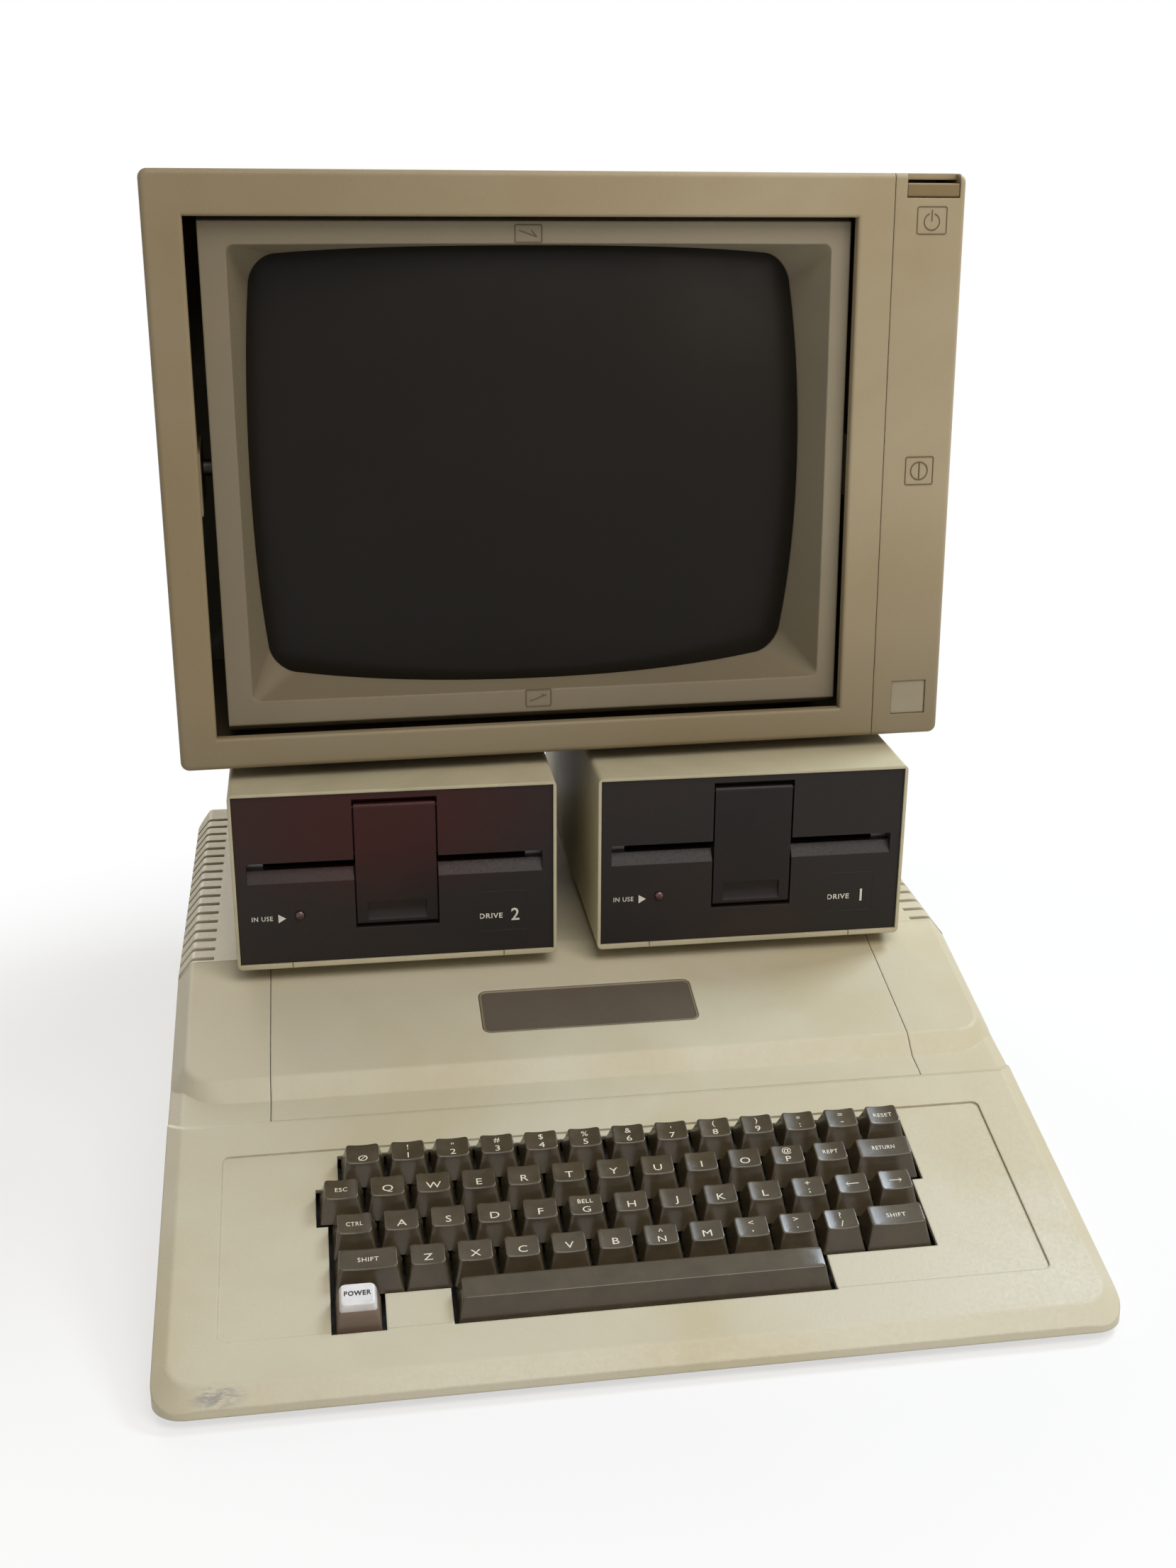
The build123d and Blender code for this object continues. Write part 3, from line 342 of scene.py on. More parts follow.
def circuit_material():
    """Green board with copper runs; what stands above the board is black chip plastic."""
    green = linear((0.10, 0.30, 0.17))
    shader = Shader("circuit_board", green)
    runs = shader.add("ShaderNodeTexBrick", {
        "Vector": shader.place, "Color1": (0, 0, 0, 1), "Color2": (0, 0, 0, 1), "Mortar": (1, 1, 1, 1),
        "Scale": 110.0, "Mortar Size": 0.035}).outputs["Color"]
    shader.colour = shader.mix(shader.noise(40.0, 3.0), green, linear((0.07, 0.22, 0.13)))
    shader.tint(shader.maths("MULTIPLY", runs, 0.55), linear((0.42, 0.50, 0.30)))
    height = shader.add("ShaderNodeSeparateXYZ", {0: shader.place}).outputs["Z"]
    chip = shader.ramp(height, 0.01275, 0.0130)
    shader.tint(shader.maths("MULTIPLY", chip, shader.ramp(height, 0.09, 0.085)), linear((0.10, 0.10, 0.10)))
    return shader.finish(shader.ramp(shader.noise(300.0), 0.3, 0.7, 0.32, 0.5), runs, 0.00005, 0.4)


def cap_material(name, colour, rough=0.20, coat=0.0):
    """Glossy key plastic: finger shine, faint mottling, fine scratches and a painted highlight along every
    edge.
    """
    base = linear(colour)
    shader = Shader(name, base)
    cloud = shader.noise(70.0, 3.0, 0.6)
    shader.colour = shader.mix(shader.ramp(cloud, 0.3, 0.75), base, linear(toned(colour, 0.84)))
    dust = shader.ramp(shader.noise(1700.0, 2.0, 0.7), 0.62, 0.80, 0.0, 0.28)
    shader.tint(dust, linear([min(1.0, c * 1.5 + 0.04) for c in colour]))
    rounded, edge = shader.edges(0.0003)
    # Painted highlight: a lighter colour laid along every edge of the caps.
    shader.tint(shader.maths("MULTIPLY", edge, 0.22), linear(toned(colour, 1.35)))
    shader.surface.inputs["Coat Weight"].default_value = coat
    gloss = shader.ramp(shader.noise(110.0, 3.0, 0.6), 0.3, 0.75, rough - 0.04, rough + 0.10)
    return shader.finish(gloss, shader.noise(900.0, 2.0, 0.6), 0.00002, 0.25, rounded)


def ink_material(name, colour, rough=0.45):
    """Printed or moulded lettering, slightly rubbed."""
    base = linear(colour)
    shader = Shader(name, base)
    rubbed = shader.ramp(shader.noise(600.0, 3.0, 0.7), 0.45, 0.75, 0.0, 0.4)
    shader.colour = shader.mix(rubbed, base, linear(toned(colour, 0.72)))
    return shader.finish(rough, shader.noise(1500.0), 0.00002, 0.3)


def glass_material():
    """The picture tube's dark glass, with a faint bloom of dust."""
    base = linear((0.098, 0.084, 0.064))
    shader = Shader("screen_glass", base)
    dust = shader.ramp(shader.noise(14.0, 4.0, 0.6), 0.35, 0.8, 0.0, 0.3)
    shader.colour = shader.mix(dust, base, linear((0.125, 0.105, 0.078)))
    shader.surface.inputs["Coat Weight"].default_value = 0.04
    shader.surface.inputs["Coat Roughness"].default_value = 0.2
    shader.surface.inputs["Specular IOR Level"].default_value = 0.12
    gloss = shader.ramp(shader.noise(90.0, 3.0), 0.3, 0.8, 0.30, 0.36)
    return shader.finish(gloss, shader.noise(900.0), 0.000004, 0.1)


def lamp_material(name, colour):
    """A small tinted lens with a cloudy inside, unlit."""
    base = linear(colour)
    shader = Shader(name, base)
    cloud = shader.ramp(shader.noise(700.0, 2.0), 0.3, 0.7)
    shader.colour = shader.mix(cloud, base, linear(toned(colour, 0.6)))
    shader.surface.inputs["Coat Weight"].default_value = 0.6
    return shader.finish(0.22, shader.noise(1200.0), 0.00002, 0.2)


# Mesh helpers

def new_object(name, mesh, material, body):
    """Puts a finished mesh in the scene on a body of the part."""
    piece = bpy.data.objects.new(name, mesh)
    bpy.context.scene.collection.objects.link(piece)
    mesh.materials.clear()
    mesh.materials.append(material)
    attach(piece, body)
    return piece


def mesh_from(name, points, faces):
    """A mesh with outward normals, smooth but for its sharp edges."""
    mesh = bpy.data.meshes.new(name)
    mesh.from_pydata([tuple(p) for p in points], [], faces)
    mesh.validate()
    work = bmesh.new()
    work.from_mesh(mesh)
    bmesh.ops.recalc_face_normals(work, faces=work.faces)
    work.to_mesh(mesh)
    work.free()
    for polygon in mesh.polygons:
        polygon.use_smooth = True
    mesh.set_sharp_from_angle(angle=math.radians(38.0))
    return mesh


def rounded_ring(half_x, half_y, radius, z, steps=4):
    """The points of a rounded rectangle, in order, always the same number of them."""
    radius = max(min(radius, half_x * 0.98, half_y * 0.98), 0.01)
    centres = [Vector(((half_x - radius) * x, (half_y - radius) * y, z))
               for x, y in ((1, 1), (-1, 1), (-1, -1), (1, -1))]
    points = []
    for quarter, centre in enumerate(centres):
        angle = quarter * math.pi / 2
        for step in range(steps + 1):
            turn = angle + step / steps * math.pi / 2
            points.append(centre + Vector((math.cos(turn), math.sin(turn), 0)) * radius)
        start = points[-1].copy()
        out = Vector((math.cos(angle + math.pi / 2), math.sin(angle + math.pi / 2), 0))
        end = centres[(quarter + 1) % 4] + out * radius
        for step in range(1, steps):
            points.append(start.lerp(end, step / steps))
    return points


def skin(rings, points, faces):
    """Joins rings of equal count, one to the next, with open ends."""
    first = len(points)
    count = len(rings[0])
    for ring in rings:
        points.extend(ring)
    for level in range(len(rings) - 1):
        a, b = first + level * count, first + (level + 1) * count
        for i in range(count):
            j = (i + 1) % count
            faces.append((a + i, a + j, b + j, b + i))


def shell(rings, points, faces):
    """Joins rings into a skin, with both ends closed on their middles."""
    first = len(points)
    count = len(rings[0])
    skin(rings, points, faces)
    for level in (0, len(rings) - 1):
        middle = sum((Vector(p) for p in rings[level]), Vector()) / count
        points.append(middle)
        centre = len(points) - 1
        base = first + level * count
        faces.extend((base + i, base + (i + 1) % count, centre) for i in range(count))


def closed_object(name, rings, place, material):
    """A fixed piece made of rings, closed at both ends."""
    points, faces = [], []
    shell(rings, points, faces)
    mesh = mesh_from(name, [place @ Vector(p) for p in points], faces)
    return new_object(name, mesh, material, "set")


def key_place(row, column):
    """The frame of a key's top, by its row and its place in the row."""
    return KEYS @ Matrix.Translation((Q_CENTRE + column * UNIT, row * UNIT, 0))


def half_width(width):
    """Half a cap's foot, for a key that is so many units wide."""
    return (KEY_BASE + (width - 1) * UNIT) / 2


def dish_sink(x, half, depth):
    """How far a cap's top lies below its rim at a place across it."""
    return -depth * (1.0 - min(1.0, abs(x) / half) ** 2)


def key_rings(width, depth):
    """A cap as rings from its stem's tip, round the hollow underside and skirt, to the middle of its dish."""
    wide, deep = half_width(width), KEY_BASE / 2
    top_x, top_y = wide - SIDE_LEAN, (TOP_BACK - TOP_FRONT) / 2
    rim_x, rim_y = top_x + 0.12, top_y + 0.1
    back = Vector((0, (TOP_BACK + TOP_FRONT) / 2, 0))
    roof = [p + Vector((0, 0.3, 0)) for p in rounded_ring(wide - 3.6, 5.2, 0.4, ROOF)]
    rings = [rounded_ring(STEM_HALF, STEM_HALF, 0.1, STEM_TIP), rounded_ring(STEM_HALF, STEM_HALF, 0.1, ROOF),
             roof, rounded_ring(wide - 1.6, deep - 1.4, 0.6, -KEY_TALL),
             rounded_ring(wide - 0.1, deep - 0.1, 0.9, -KEY_TALL)]
    for part in (0.0, 0.25, 0.5, 0.75, 1.0):
        bow = 0.2 * math.sin(part * math.pi)
        ring = rounded_ring(wide + (rim_x - wide) * part - bow, deep + (rim_y - deep) * part - bow,
                            0.9 + 0.6 * part, FOOT_LIP - KEY_TALL)
        tall = KEY_TALL - FOOT_LIP - RIM_ROUND
        rings.append([p + back * part + Vector((0, 0, part * (tall + dish_sink(p.x, top_x, depth))))
                      for p in ring])
    for turn in (30.0, 60.0, 90.0):
        inward = RIM_ROUND * (1 - math.cos(math.radians(turn)))
        rise = RIM_ROUND * math.sin(math.radians(turn)) - RIM_ROUND
        ring = rounded_ring(rim_x - inward, rim_y - inward, 1.5, rise)
        rings.append([p + back + Vector((0, 0, dish_sink(p.x, top_x, depth))) for p in ring])
    for share in (0.86, 0.66, 0.44, 0.2):
        ring = rounded_ring(top_x * share, top_y * share, 1.5 * share, 0.0)
        rings.append([p + back + Vector((0, 0, dish_sink(p.x, top_x, depth))) for p in ring])
    return rings


def word_mesh(word, tall, stretch=1.0, bold=0.0, wide=None):
    """Flat lettering centred on the origin, in millimetres, with its capital height given."""
    curve = bpy.data.curves.new("word", "FONT")
    curve.body = word
    curve.size = tall / 0.73
    curve.offset = bold
    curve.space_character = 1.12
    curve.resolution_u = 3
    holder = bpy.data.objects.new("word", curve)
    bpy.context.scene.collection.objects.link(holder)
    bpy.context.view_layer.update()
    mesh = bpy.data.meshes.new_from_object(holder.evaluated_get(bpy.context.evaluated_depsgraph_get()))
    bpy.data.objects.remove(holder)
    bpy.data.curves.remove(curve)
    if not mesh.vertices:
        raise RuntimeError(f"no letters were made for {word!r}")
    xs = [v.co.x for v in mesh.vertices]
    ys = [v.co.y for v in mesh.vertices]
    if wide:
        stretch = wide / (max(xs) - min(xs))
    middle = Vector(((max(xs) + min(xs)) / 2, (max(ys) + min(ys)) / 2, 0))
    for vertex in mesh.vertices:
        vertex.co -= middle
        vertex.co.x *= stretch
    return mesh


def arrow_mesh(direction):
    """A thin arrow that points left or right."""
    s = 1 if direction == "right" else -1
    half, head, line = 2.8, 1.5, 0.21
    points = [(-s * half, -line, 0), (s * (half - head * 0.4), -line, 0), (s * (half - head), -head, 0),
              (s * half, 0, 0), (s * (half - head), head, 0), (s * (half - head * 0.4), line, 0),
              (-s * half, line, 0)]
    mesh = bpy.data.meshes.new("arrow")
    mesh.from_pydata(points, [], [tuple(range(7)) if s > 0 else tuple(reversed(range(7)))])
    return mesh


def join_meshes(name, parts):
    """One mesh from (mesh, function that moves a point) pairs; the loose meshes are removed."""
    points, faces = [], []
    for mesh, move in parts:
        first = len(points)
        points.extend(move(v.co) for v in mesh.vertices)
        faces.extend([tuple(first + i for i in polygon.vertices) for polygon in mesh.polygons])
        bpy.data.meshes.remove(mesh)
    joined = bpy.data.meshes.new(name)
    joined.from_pydata([tuple(p) for p in points], [], faces)
    joined.update()
    return joined


def strip_line(points, faces, path, width, rise, place, closed=False):
    """A raised line with sloping flanks along a flat path; local x and z lie in the face, y points inward."""
    count = len(path)
    first = len(points)
    for i, (x, z) in enumerate(path):
        before = path[i - 1] if closed or i else path[i]
        after = path[(i + 1) % count] if closed or i < count - 1 else path[i]
        along = Vector((after[0] - before[0], after[1] - before[1])).normalized()
        side = Vector((-along.y, along.x))
        for offset, up in ((0.5, 0.0), (0.28, rise), (-0.28, rise), (-0.5, 0.0)):
            points.append(place @ Vector((x + side.x * offset * width, -up, z + side.y * offset * width)))
    for i in range(count if closed else count - 1):
        a, b = first + i * 4, first + ((i + 1) % count) * 4
        for k in range(3):
            faces.append((a + k, a + k + 1, b + k + 1, b + k))
    if not closed:
        faces.append((first, first + 1, first + 2, first + 3))
        last = first + (count - 1) * 4
        faces.append((last + 3, last + 2, last + 1, last))


def box_path(left, right, low, high, radius=0.8):
    """A rounded rectangle as a closed flat path."""
    path, steps = [], 3
    corners = [(right - radius, low + radius, -90), (right - radius, high - radius, 0),
               (left + radius, high - radius, 90), (left + radius, low + radius, 180)]
    for x, z, start in corners:
        for step in range(steps + 1):
            turn = math.radians(start + 90 * step / steps)
            path.append((x + radius * math.cos(turn), z + radius * math.sin(turn)))
    return path


def arc_path(x, z, radius, start, end):
    """An arc as a flat path, from one angle to another."""
    turns = [math.radians(start + (end - start) * i / 20) for i in range(21)]
    return [(x + radius * math.cos(turn), z + radius * math.sin(turn)) for turn in turns]


def dress(material, *names):
    """Gives CAD nodes a finish."""
    for name in names:
        node = NODES[name]
        node.data.materials.clear()
        node.data.materials.append(material)


def look():
    """The settings that the sidebar shows."""
    return bpy.context.scene.home_computer


def scuff(shader):
    """A grey rub on the case's front left bevel."""
    rub = shader.spot(PART @ Vector((-168.0, 5.5, 11.0)), 0.0135, (1.0, 1.6, 2.6))
    drawn = shader.add("ShaderNodeMapping", {"Vector": shader.place, "Scale": (0.35, 1.0, 1.0)})
    streak = shader.ramp(shader.noise(420.0, 3.0, 0.7, place=drawn.outputs["Vector"]), 0.36, 0.58)
    amount = shader.maths("MULTIPLY", shader.maths("MULTIPLY", rub, streak), 0.8)
    shader.tint(amount, linear((0.53, 0.52, 0.53)))


def monitor_painted_shade(shader):
    """Painted shade that deepens towards the lower left of the monitor."""
    parts = shader.add("ShaderNodeSeparateXYZ", {0: shader.place}).outputs
    left = shader.ramp(parts["X"], 0.15, -0.20)
    low = shader.ramp(parts["Z"], 0.32, 0.165)
    painted_shade_share = shader.maths("MAXIMUM", shader.maths("MULTIPLY", left, 0.42), shader.maths("MULTIPLY", low, 0.62))
    shader.tint(painted_shade_share, linear((0.36, 0.30, 0.19)))


def painted_red_reflection(shader):
    """Painted reflection: a faint dark-red tint laid on the upper half of the left drive's front."""
    red_reflection_mask = shader.spot(DRIVES["left"] @ Vector((-8.0, 0.0, 76.0)), 0.085, (0.75, 0.3, 1.6))
    shader.tint(shader.maths("MULTIPLY", red_reflection_mask, 0.7), linear((0.25, 0.085, 0.07)))


class HOMECOMPUTER_OT_case(bpy.types.Operator):
    """Finish the computer's case, lid, underside and feet"""
    bl_idname = "home_computer.case"
    bl_label = "Case and Lid"
    bl_options = {"REGISTER", "UNDO"}

    def execute(self, context):
        s = look().case
        case = moulded("cream_case", s.case_colour, s.aged_colour, s.grain_size, rough=0.46, soft=0.0012,
                       patches=7.0, extra=scuff)
        dress(case, "upper_case", "top_lid")
        under = moulded("base_plastic", (0.60, 0.56, 0.46), (0.52, 0.47, 0.36), s.grain_size, rough=0.6)
        dress(under, "base_pan")
        rubber = moulded("foot_rubber", (0.17, 0.165, 0.16), (0.22, 0.21, 0.20), 0.0008, rough=0.8, hollow_shade=0.0)
        dress(rubber, "rubber_feet", "drive_feet", "monitor_feet")
        dress(brushed("screw_steel", (0.60, 0.58, 0.54)), "base_screws")
        return {"FINISHED"}


class HOMECOMPUTER_OT_insides(bpy.types.Operator):
    """Finish the boards, supply, sockets and other parts inside and at the back"""
    bl_idname = "home_computer.insides"
    bl_label = "Inside Parts"
    bl_options = {"REGISTER", "UNDO"}

    def execute(self, context):
        dress(circuit_material(), "main_board", "keyboard_board", "monitor_board")
        slots = moulded("slot_plastic", (0.24, 0.23, 0.21), (0.28, 0.26, 0.22), 0.0009, rough=0.5)
        dress(slots, "expansion_slots", "key_switches")
        dress(brushed("supply_steel", (0.66, 0.64, 0.58), 0.38), "power_supply")
        black = moulded("socket_plastic", (0.13, 0.125, 0.12), (0.17, 0.16, 0.15), 0.0007, rough=0.42)
        dress(black, "power_inlet", "rocker_frame", "power_rocker")
        dress(brushed("jack_metal", (0.72, 0.70, 0.64), 0.3), "rear_jacks")
        paper = moulded("speaker_paper", (0.20, 0.18, 0.16), (0.26, 0.23, 0.19), 0.0012, rough=0.85)
        dress(paper, "speaker")
        dress(moulded("contrast_plastic", (0.22, 0.21, 0.20), (0.26, 0.24, 0.2), 0.0007, rough=0.45),
              "contrast_wheel", "contrast_control")
        return {"FINISHED"}


class HOMECOMPUTER_OT_keycaps(bpy.types.Operator):
    """Build every key's cap with its dished top, in place of the plain ones"""
    bl_idname = "home_computer.keycaps"
    bl_label = "Key Caps"
    bl_options = {"REGISTER", "UNDO"}

    def execute(self, context):
        s = look().keys
        depth = s.dish_depth * 1000
        plastic = cap_material("key_plastic", s.key_colour)
        for body, keys in KEY_BODIES.items():
            points, faces = [], []
            for row, column, width, _ in keys:
                first = len(points)
                is_bar = width > 4
                shell(key_rings(width, 0.0 if is_bar else depth), points, faces)
                for guide in (-3 * UNIT, 3 * UNIT) if is_bar else ():
                    stem = [[p + Vector((guide, 0, 0)) for p in rounded_ring(STEM_HALF, STEM_HALF, 0.1, z)]
                            for z in (STEM_TIP, -4.6)]
                    shell(stem, points, faces)
                place = key_place(row, column)
                points[first:] = [place @ Vector(p) for p in points[first:]]
            mesh = mesh_from(body + "_caps", points, faces)
            cap = new_object(body + "_caps", mesh, plastic, body)
            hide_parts(body)
        return {"FINISHED"}


class HOMECOMPUTER_OT_legends(bpy.types.Operator):
    """Letter the keys, following each cap's dish"""
    bl_idname = "home_computer.legends"
    bl_label = "Key Legends"
    bl_options = {"REGISTER", "UNDO"}

    def execute(self, context):
        s = look().keys
        ink = ink_material("legend_ink", s.legend_colour)
        tall = s.letter_height * 1000
        depth = s.dish_depth * 1000
        for body, keys in KEY_BODIES.items():
            parts = []
            for row, column, width, (upper, lower) in keys:
                half = half_width(width) - SIDE_LEAN
                place = key_place(row, column)

                def put(mesh, x, y, place=place, half=half):
                    def move(co):
                        sink = dish_sink(co.x + x, half, depth)
                        return place @ Vector((co.x + x, co.y + y, sink + LEGEND_LIFT))
                    parts.append((mesh, move))

                if lower in ("left", "right"):
                    put(arrow_mesh(lower), 0.2, 1.6)
                elif len(lower) > 1:
                    put(word_mesh(lower, 2.2, wide=1.68 * len(lower), bold=0.02), 0.0, 1.7)
                elif lower:
                    size, y = (0.9, -0.5) if upper or row == 2 else (1.0, 0.4)
                    put(word_mesh(lower, tall * size, stretch=1.26), 0.1, y)
                if len(upper) > 1:
                    put(word_mesh(upper, 2.3, wide=6.4, bold=0.03), 0.0, 3.9)
                elif upper:
                    put(word_mesh(upper, tall * 0.85, stretch=1.1), 0.1, 4.0)
            if parts:
                mesh = join_meshes(body + "_legends", parts)
                new_object(body + "_legends", mesh, ink, body)
        return {"FINISHED"}


class HOMECOMPUTER_OT_power_lamp(bpy.types.Operator):
    """Build the white power lamp in its dark foot"""
    bl_idname = "home_computer.power_lamp"
    bl_label = "Power Lamp"
    bl_options = {"REGISTER", "UNDO"}

    def execute(self, context):
        place = key_place(*LAMP_KEY)
        foot = [rounded_ring(9.1, 9.1, 0.8, -17.0), rounded_ring(9.05, 9.05, 0.9, -9.5)]
        for part in (0.25, 0.5, 0.75, 1.0):
            ring = rounded_ring(9.05 - 1.5 * part, 9.05 - 2.85 * part, 0.9 + 0.4 * part, -9.5 + 8.4 * part)
            foot.append([p + Vector((0, 1.45 * part, 0)) for p in ring])
        foot.append([p + Vector((0, 1.45, 0)) for p in rounded_ring(7.2, 5.9, 1.2, -0.95)])
        plastic = bpy.data.materials["key_plastic"]
        base = closed_object("power_lamp_foot", foot, place, plastic)
        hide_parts("power_lamp_base")
        cap = [rounded_ring(7.3, 6.0, 1.2, -1.0), rounded_ring(7.25, 5.95, 1.3, -0.6),
               rounded_ring(6.95, 5.6, 1.4, 0.9)]
        for turn in range(0, 91, 15):
            inward, rise = 1 - math.cos(math.radians(turn)), math.sin(math.radians(turn))
            cap.append(rounded_ring(6.8 - inward, 5.45 - inward, 1.8, 1.3 + rise))
        for share in (0.75, 0.5, 0.25):
            ring = rounded_ring(5.8 * share, 4.45 * share, 1.6 * share, 2.3)
            cap.append([p + Vector((0, 0, -0.2 * (1 - share))) for p in ring])
        cap = [[p + Vector((0, 1.5, 0)) for p in ring] for ring in cap]
        white = cap_material("white_cap", (0.93, 0.925, 0.93), rough=0.30, coat=0.2)
        lens = closed_object("power_lamp_lens", cap, place, white)
        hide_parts("power_lamp_cap")
        word = word_mesh("POWER", 2.3, wide=10.6, bold=0.09)
        mesh = join_meshes("power_lamp_word", [(word, lambda co: place @ Vector((co.x, co.y + 1.9, 2.32)))])
        new_object("power_lamp_word", mesh, ink_material("lamp_ink", (0.13, 0.12, 0.12)), "set")
        return {"FINISHED"}


class HOMECOMPUTER_OT_nameplate(bpy.types.Operator):
    """Finish the bare brown plate on the lid and its pale rim"""
    bl_idname = "home_computer.nameplate"
    bl_label = "Bare Name Plate"
    bl_options = {"REGISTER", "UNDO"}

    def execute(self, context):
        s = look().case
        plate = moulded("brown_plate", (0.375, 0.335, 0.29), (0.34, 0.30, 0.255), 0.0009, rough=0.42,
                        hollow_shade=0.3, soft=0.0004)
        dress(plate, "nameplate")
        rings = []
        for grow, rise in ((-1.2, 0.0), (-0.9, 0.42), (-0.45, 0.5), (-0.1, 0.38), (0.0, 0.0)):
            ring = rounded_ring(PLATE_HALF_X + grow, PLATE_HALF_Y + grow, PLATE_CORNER + grow, rise)
            rings.append([PLATE_CENTRE + p for p in ring])
        points, faces = [], []
        skin(rings, points, faces)
        rim = moulded("plate_rim", (0.52, 0.47, 0.38), (0.46, 0.41, 0.33), s.grain_size, rough=0.45)
        mesh = mesh_from("nameplate_rim", [HOUSING @ Vector(p) for p in points], faces)
        new_object("nameplate_rim", mesh, rim, "set")
        return {"FINISHED"}


def drive_words(side, number):
    """The generic words on a drive's front: which drive it is, and the lamp's name with its pointer."""
    place = DRIVES[side]

    def put(mesh, x, z):
        return mesh, lambda co: place @ Vector((co.x + x, 0.93, co.y + z))

    triangle = bpy.data.meshes.new("pointer")
    triangle.from_pydata([(-1.8, -2.2, 0), (1.8, 0, 0), (-1.8, 2.2, 0)], [], [(0, 1, 2)])
    return [put(word_mesh("IN USE", 2.4, wide=9.8, bold=0.03), -63.45, 25.7),
            put(triangle, -54.2, 25.4),
            put(word_mesh("DRIVE", 2.7, wide=11.2, bold=0.07), 44.5, 21.0),
            put(word_mesh(number, 6.6, stretch=0.95, bold=0.12), 56.2, 21.3)]


def drive_lens(side, red):
    """The domed red lens of a drive's lamp, in place of the plain one."""
    place = DRIVES[side] @ Matrix.Translation((-45.8, 0, 26.8)) @ Matrix.Rotation(math.pi / 2, 4, "X")
    rings = []
    for step in range(0, 91, 15):
        turn = math.radians(step)
        radius = 2.25 * math.cos(turn) + 0.05
        rings.append([Vector((radius * math.cos(a * math.pi / 12), radius * math.sin(a * math.pi / 12),
                              -0.9 + 1.7 * math.sin(turn))) for a in range(24)])
    rings.insert(0, [Vector((p.x, p.y, -8.0)) for p in rings[0]])
    lens = closed_object(f"{side}_drive_lens", rings, place, red)
    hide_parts(f"{side}_drive_lamp")


class HOMECOMPUTER_OT_drives(bpy.types.Operator):
    """Finish both disk drives and print their fronts"""
    bl_idname = "home_computer.drives"
    bl_label = "Disk Drives"
    bl_options = {"REGISTER", "UNDO"}

    def execute(self, context):
        s = look()
        sleeve = moulded("drive_sleeve", s.case.sleeve_colour, toned(s.case.sleeve_colour, 0.9),
                         s.case.grain_size * 0.8, rough=0.48, soft=0.0009, hollow_shade=0.3)
        # The bezel and the door both carry the painted dark-red reflection on the left drive's upper front.
        bezel = moulded("drive_black", s.drives.bezel_colour, (0.19, 0.15, 0.135), 0.0006, rough=0.36,
                        depth=0.00008, hollow_shade=0.3, worn=(0.30, 0.27, 0.25), soft=0.0005, extra=painted_red_reflection, shine=0.2)
        flap = moulded("door_black", toned(s.drives.bezel_colour, 0.78), (0.17, 0.13, 0.12), 0.0006,
                       rough=0.34, depth=0.00008, hollow_shade=0.3, worn=(0.28, 0.25, 0.23), soft=0.0006, extra=painted_red_reflection,
                       shine=0.2)
        steel = brushed("chassis_steel", (0.58, 0.57, 0.54))
        white = ink_material("drive_print", s.drives.print_colour)
        red = lamp_material("red_lamp", (0.30, 0.035, 0.03))
        hub = moulded("hub_plastic", (0.30, 0.29, 0.27), (0.26, 0.25, 0.23), 0.0007, rough=0.4)
        for side, number in (("left", "2"), ("right", "1")):
            dress(sleeve, f"{side}_drive_cover", f"{side}_drive_base")
            dress(bezel, f"{side}_drive_bezel")
            dress(flap, f"{side}_drive_door")
            dress(steel, f"{side}_drive_chassis")
            dress(hub, f"{side}_drive_hub")
            mesh = join_meshes(f"{side}_drive_words", drive_words(side, number))
            new_object(f"{side}_drive_words", mesh, white, "set")
            points, faces = [], []
            strip_line(points, faces, box_path(39.0, 62.0, 13.0, 33.5, 1.0), 0.45, 0.12,
                       DRIVES[side] @ Matrix.Translation((0, 1.0, 0)), closed=True)
            mesh = mesh_from(f"{side}_drive_label_line", points, faces)
            new_object(f"{side}_drive_label_line", mesh, bezel, "set")
            drive_lens(side, red)
        return {"FINISHED"}


class HOMECOMPUTER_OT_monitor(bpy.types.Operator):
    """Finish the monitor's housing, screen frame and controls"""
    bl_idname = "home_computer.monitor"
    bl_label = "Monitor"
    bl_options = {"REGISTER", "UNDO"}

    def execute(self, context):
        s = look().case
        # Painted shade: this beige is darker than the case's, for the shade on the monitor's upright faces.
        tone = s.monitor_shaded_colour
        aged = [c * f for c, f in zip(tone, (0.93, 0.90, 0.84))]
        # The monitor's finishes carry painted shade that deepens towards the lower left.
        surface = {"depth": 0.0001, "strength": 0.4, "soft": 0.0012, "patches": 5.0, "extra": monitor_painted_shade}
        beige = moulded("monitor_beige", tone, aged, s.grain_size * 0.7, hollow_shade=0.3, **surface)
        dress(beige, "monitor_case", "monitor_back", "control_panel")
        # Painted shade: the screen frame takes the monitor beige made darker still, for the shade round the
        # screen.
        darker = [c * f for c, f in zip(tone, (0.87, 0.88, 0.90))]
        bezel = moulded("screen_frame_shaded_beige", darker, toned(darker, 0.93), s.grain_size * 0.7, **surface)
        dress(bezel, "screen_bezel")
        button = moulded("button_brown", (0.50, 0.42, 0.27), (0.44, 0.36, 0.22), 0.0006, rough=0.35)
        dress(button, "monitor_power_button")
        badge = moulded("badge_plain", (0.60, 0.56, 0.47), (0.55, 0.51, 0.42), 0.0006, rough=0.45)
        dress(badge, "badge_plate")
        dress(brushed("pin_steel", (0.55, 0.54, 0.50)), "tilt_pins")
        dress(brushed("yoke_copper", (0.55, 0.30, 0.16), 0.4, along=(30.0, 1.0, 30.0)), "tube_yoke")
        return {"FINISHED"}


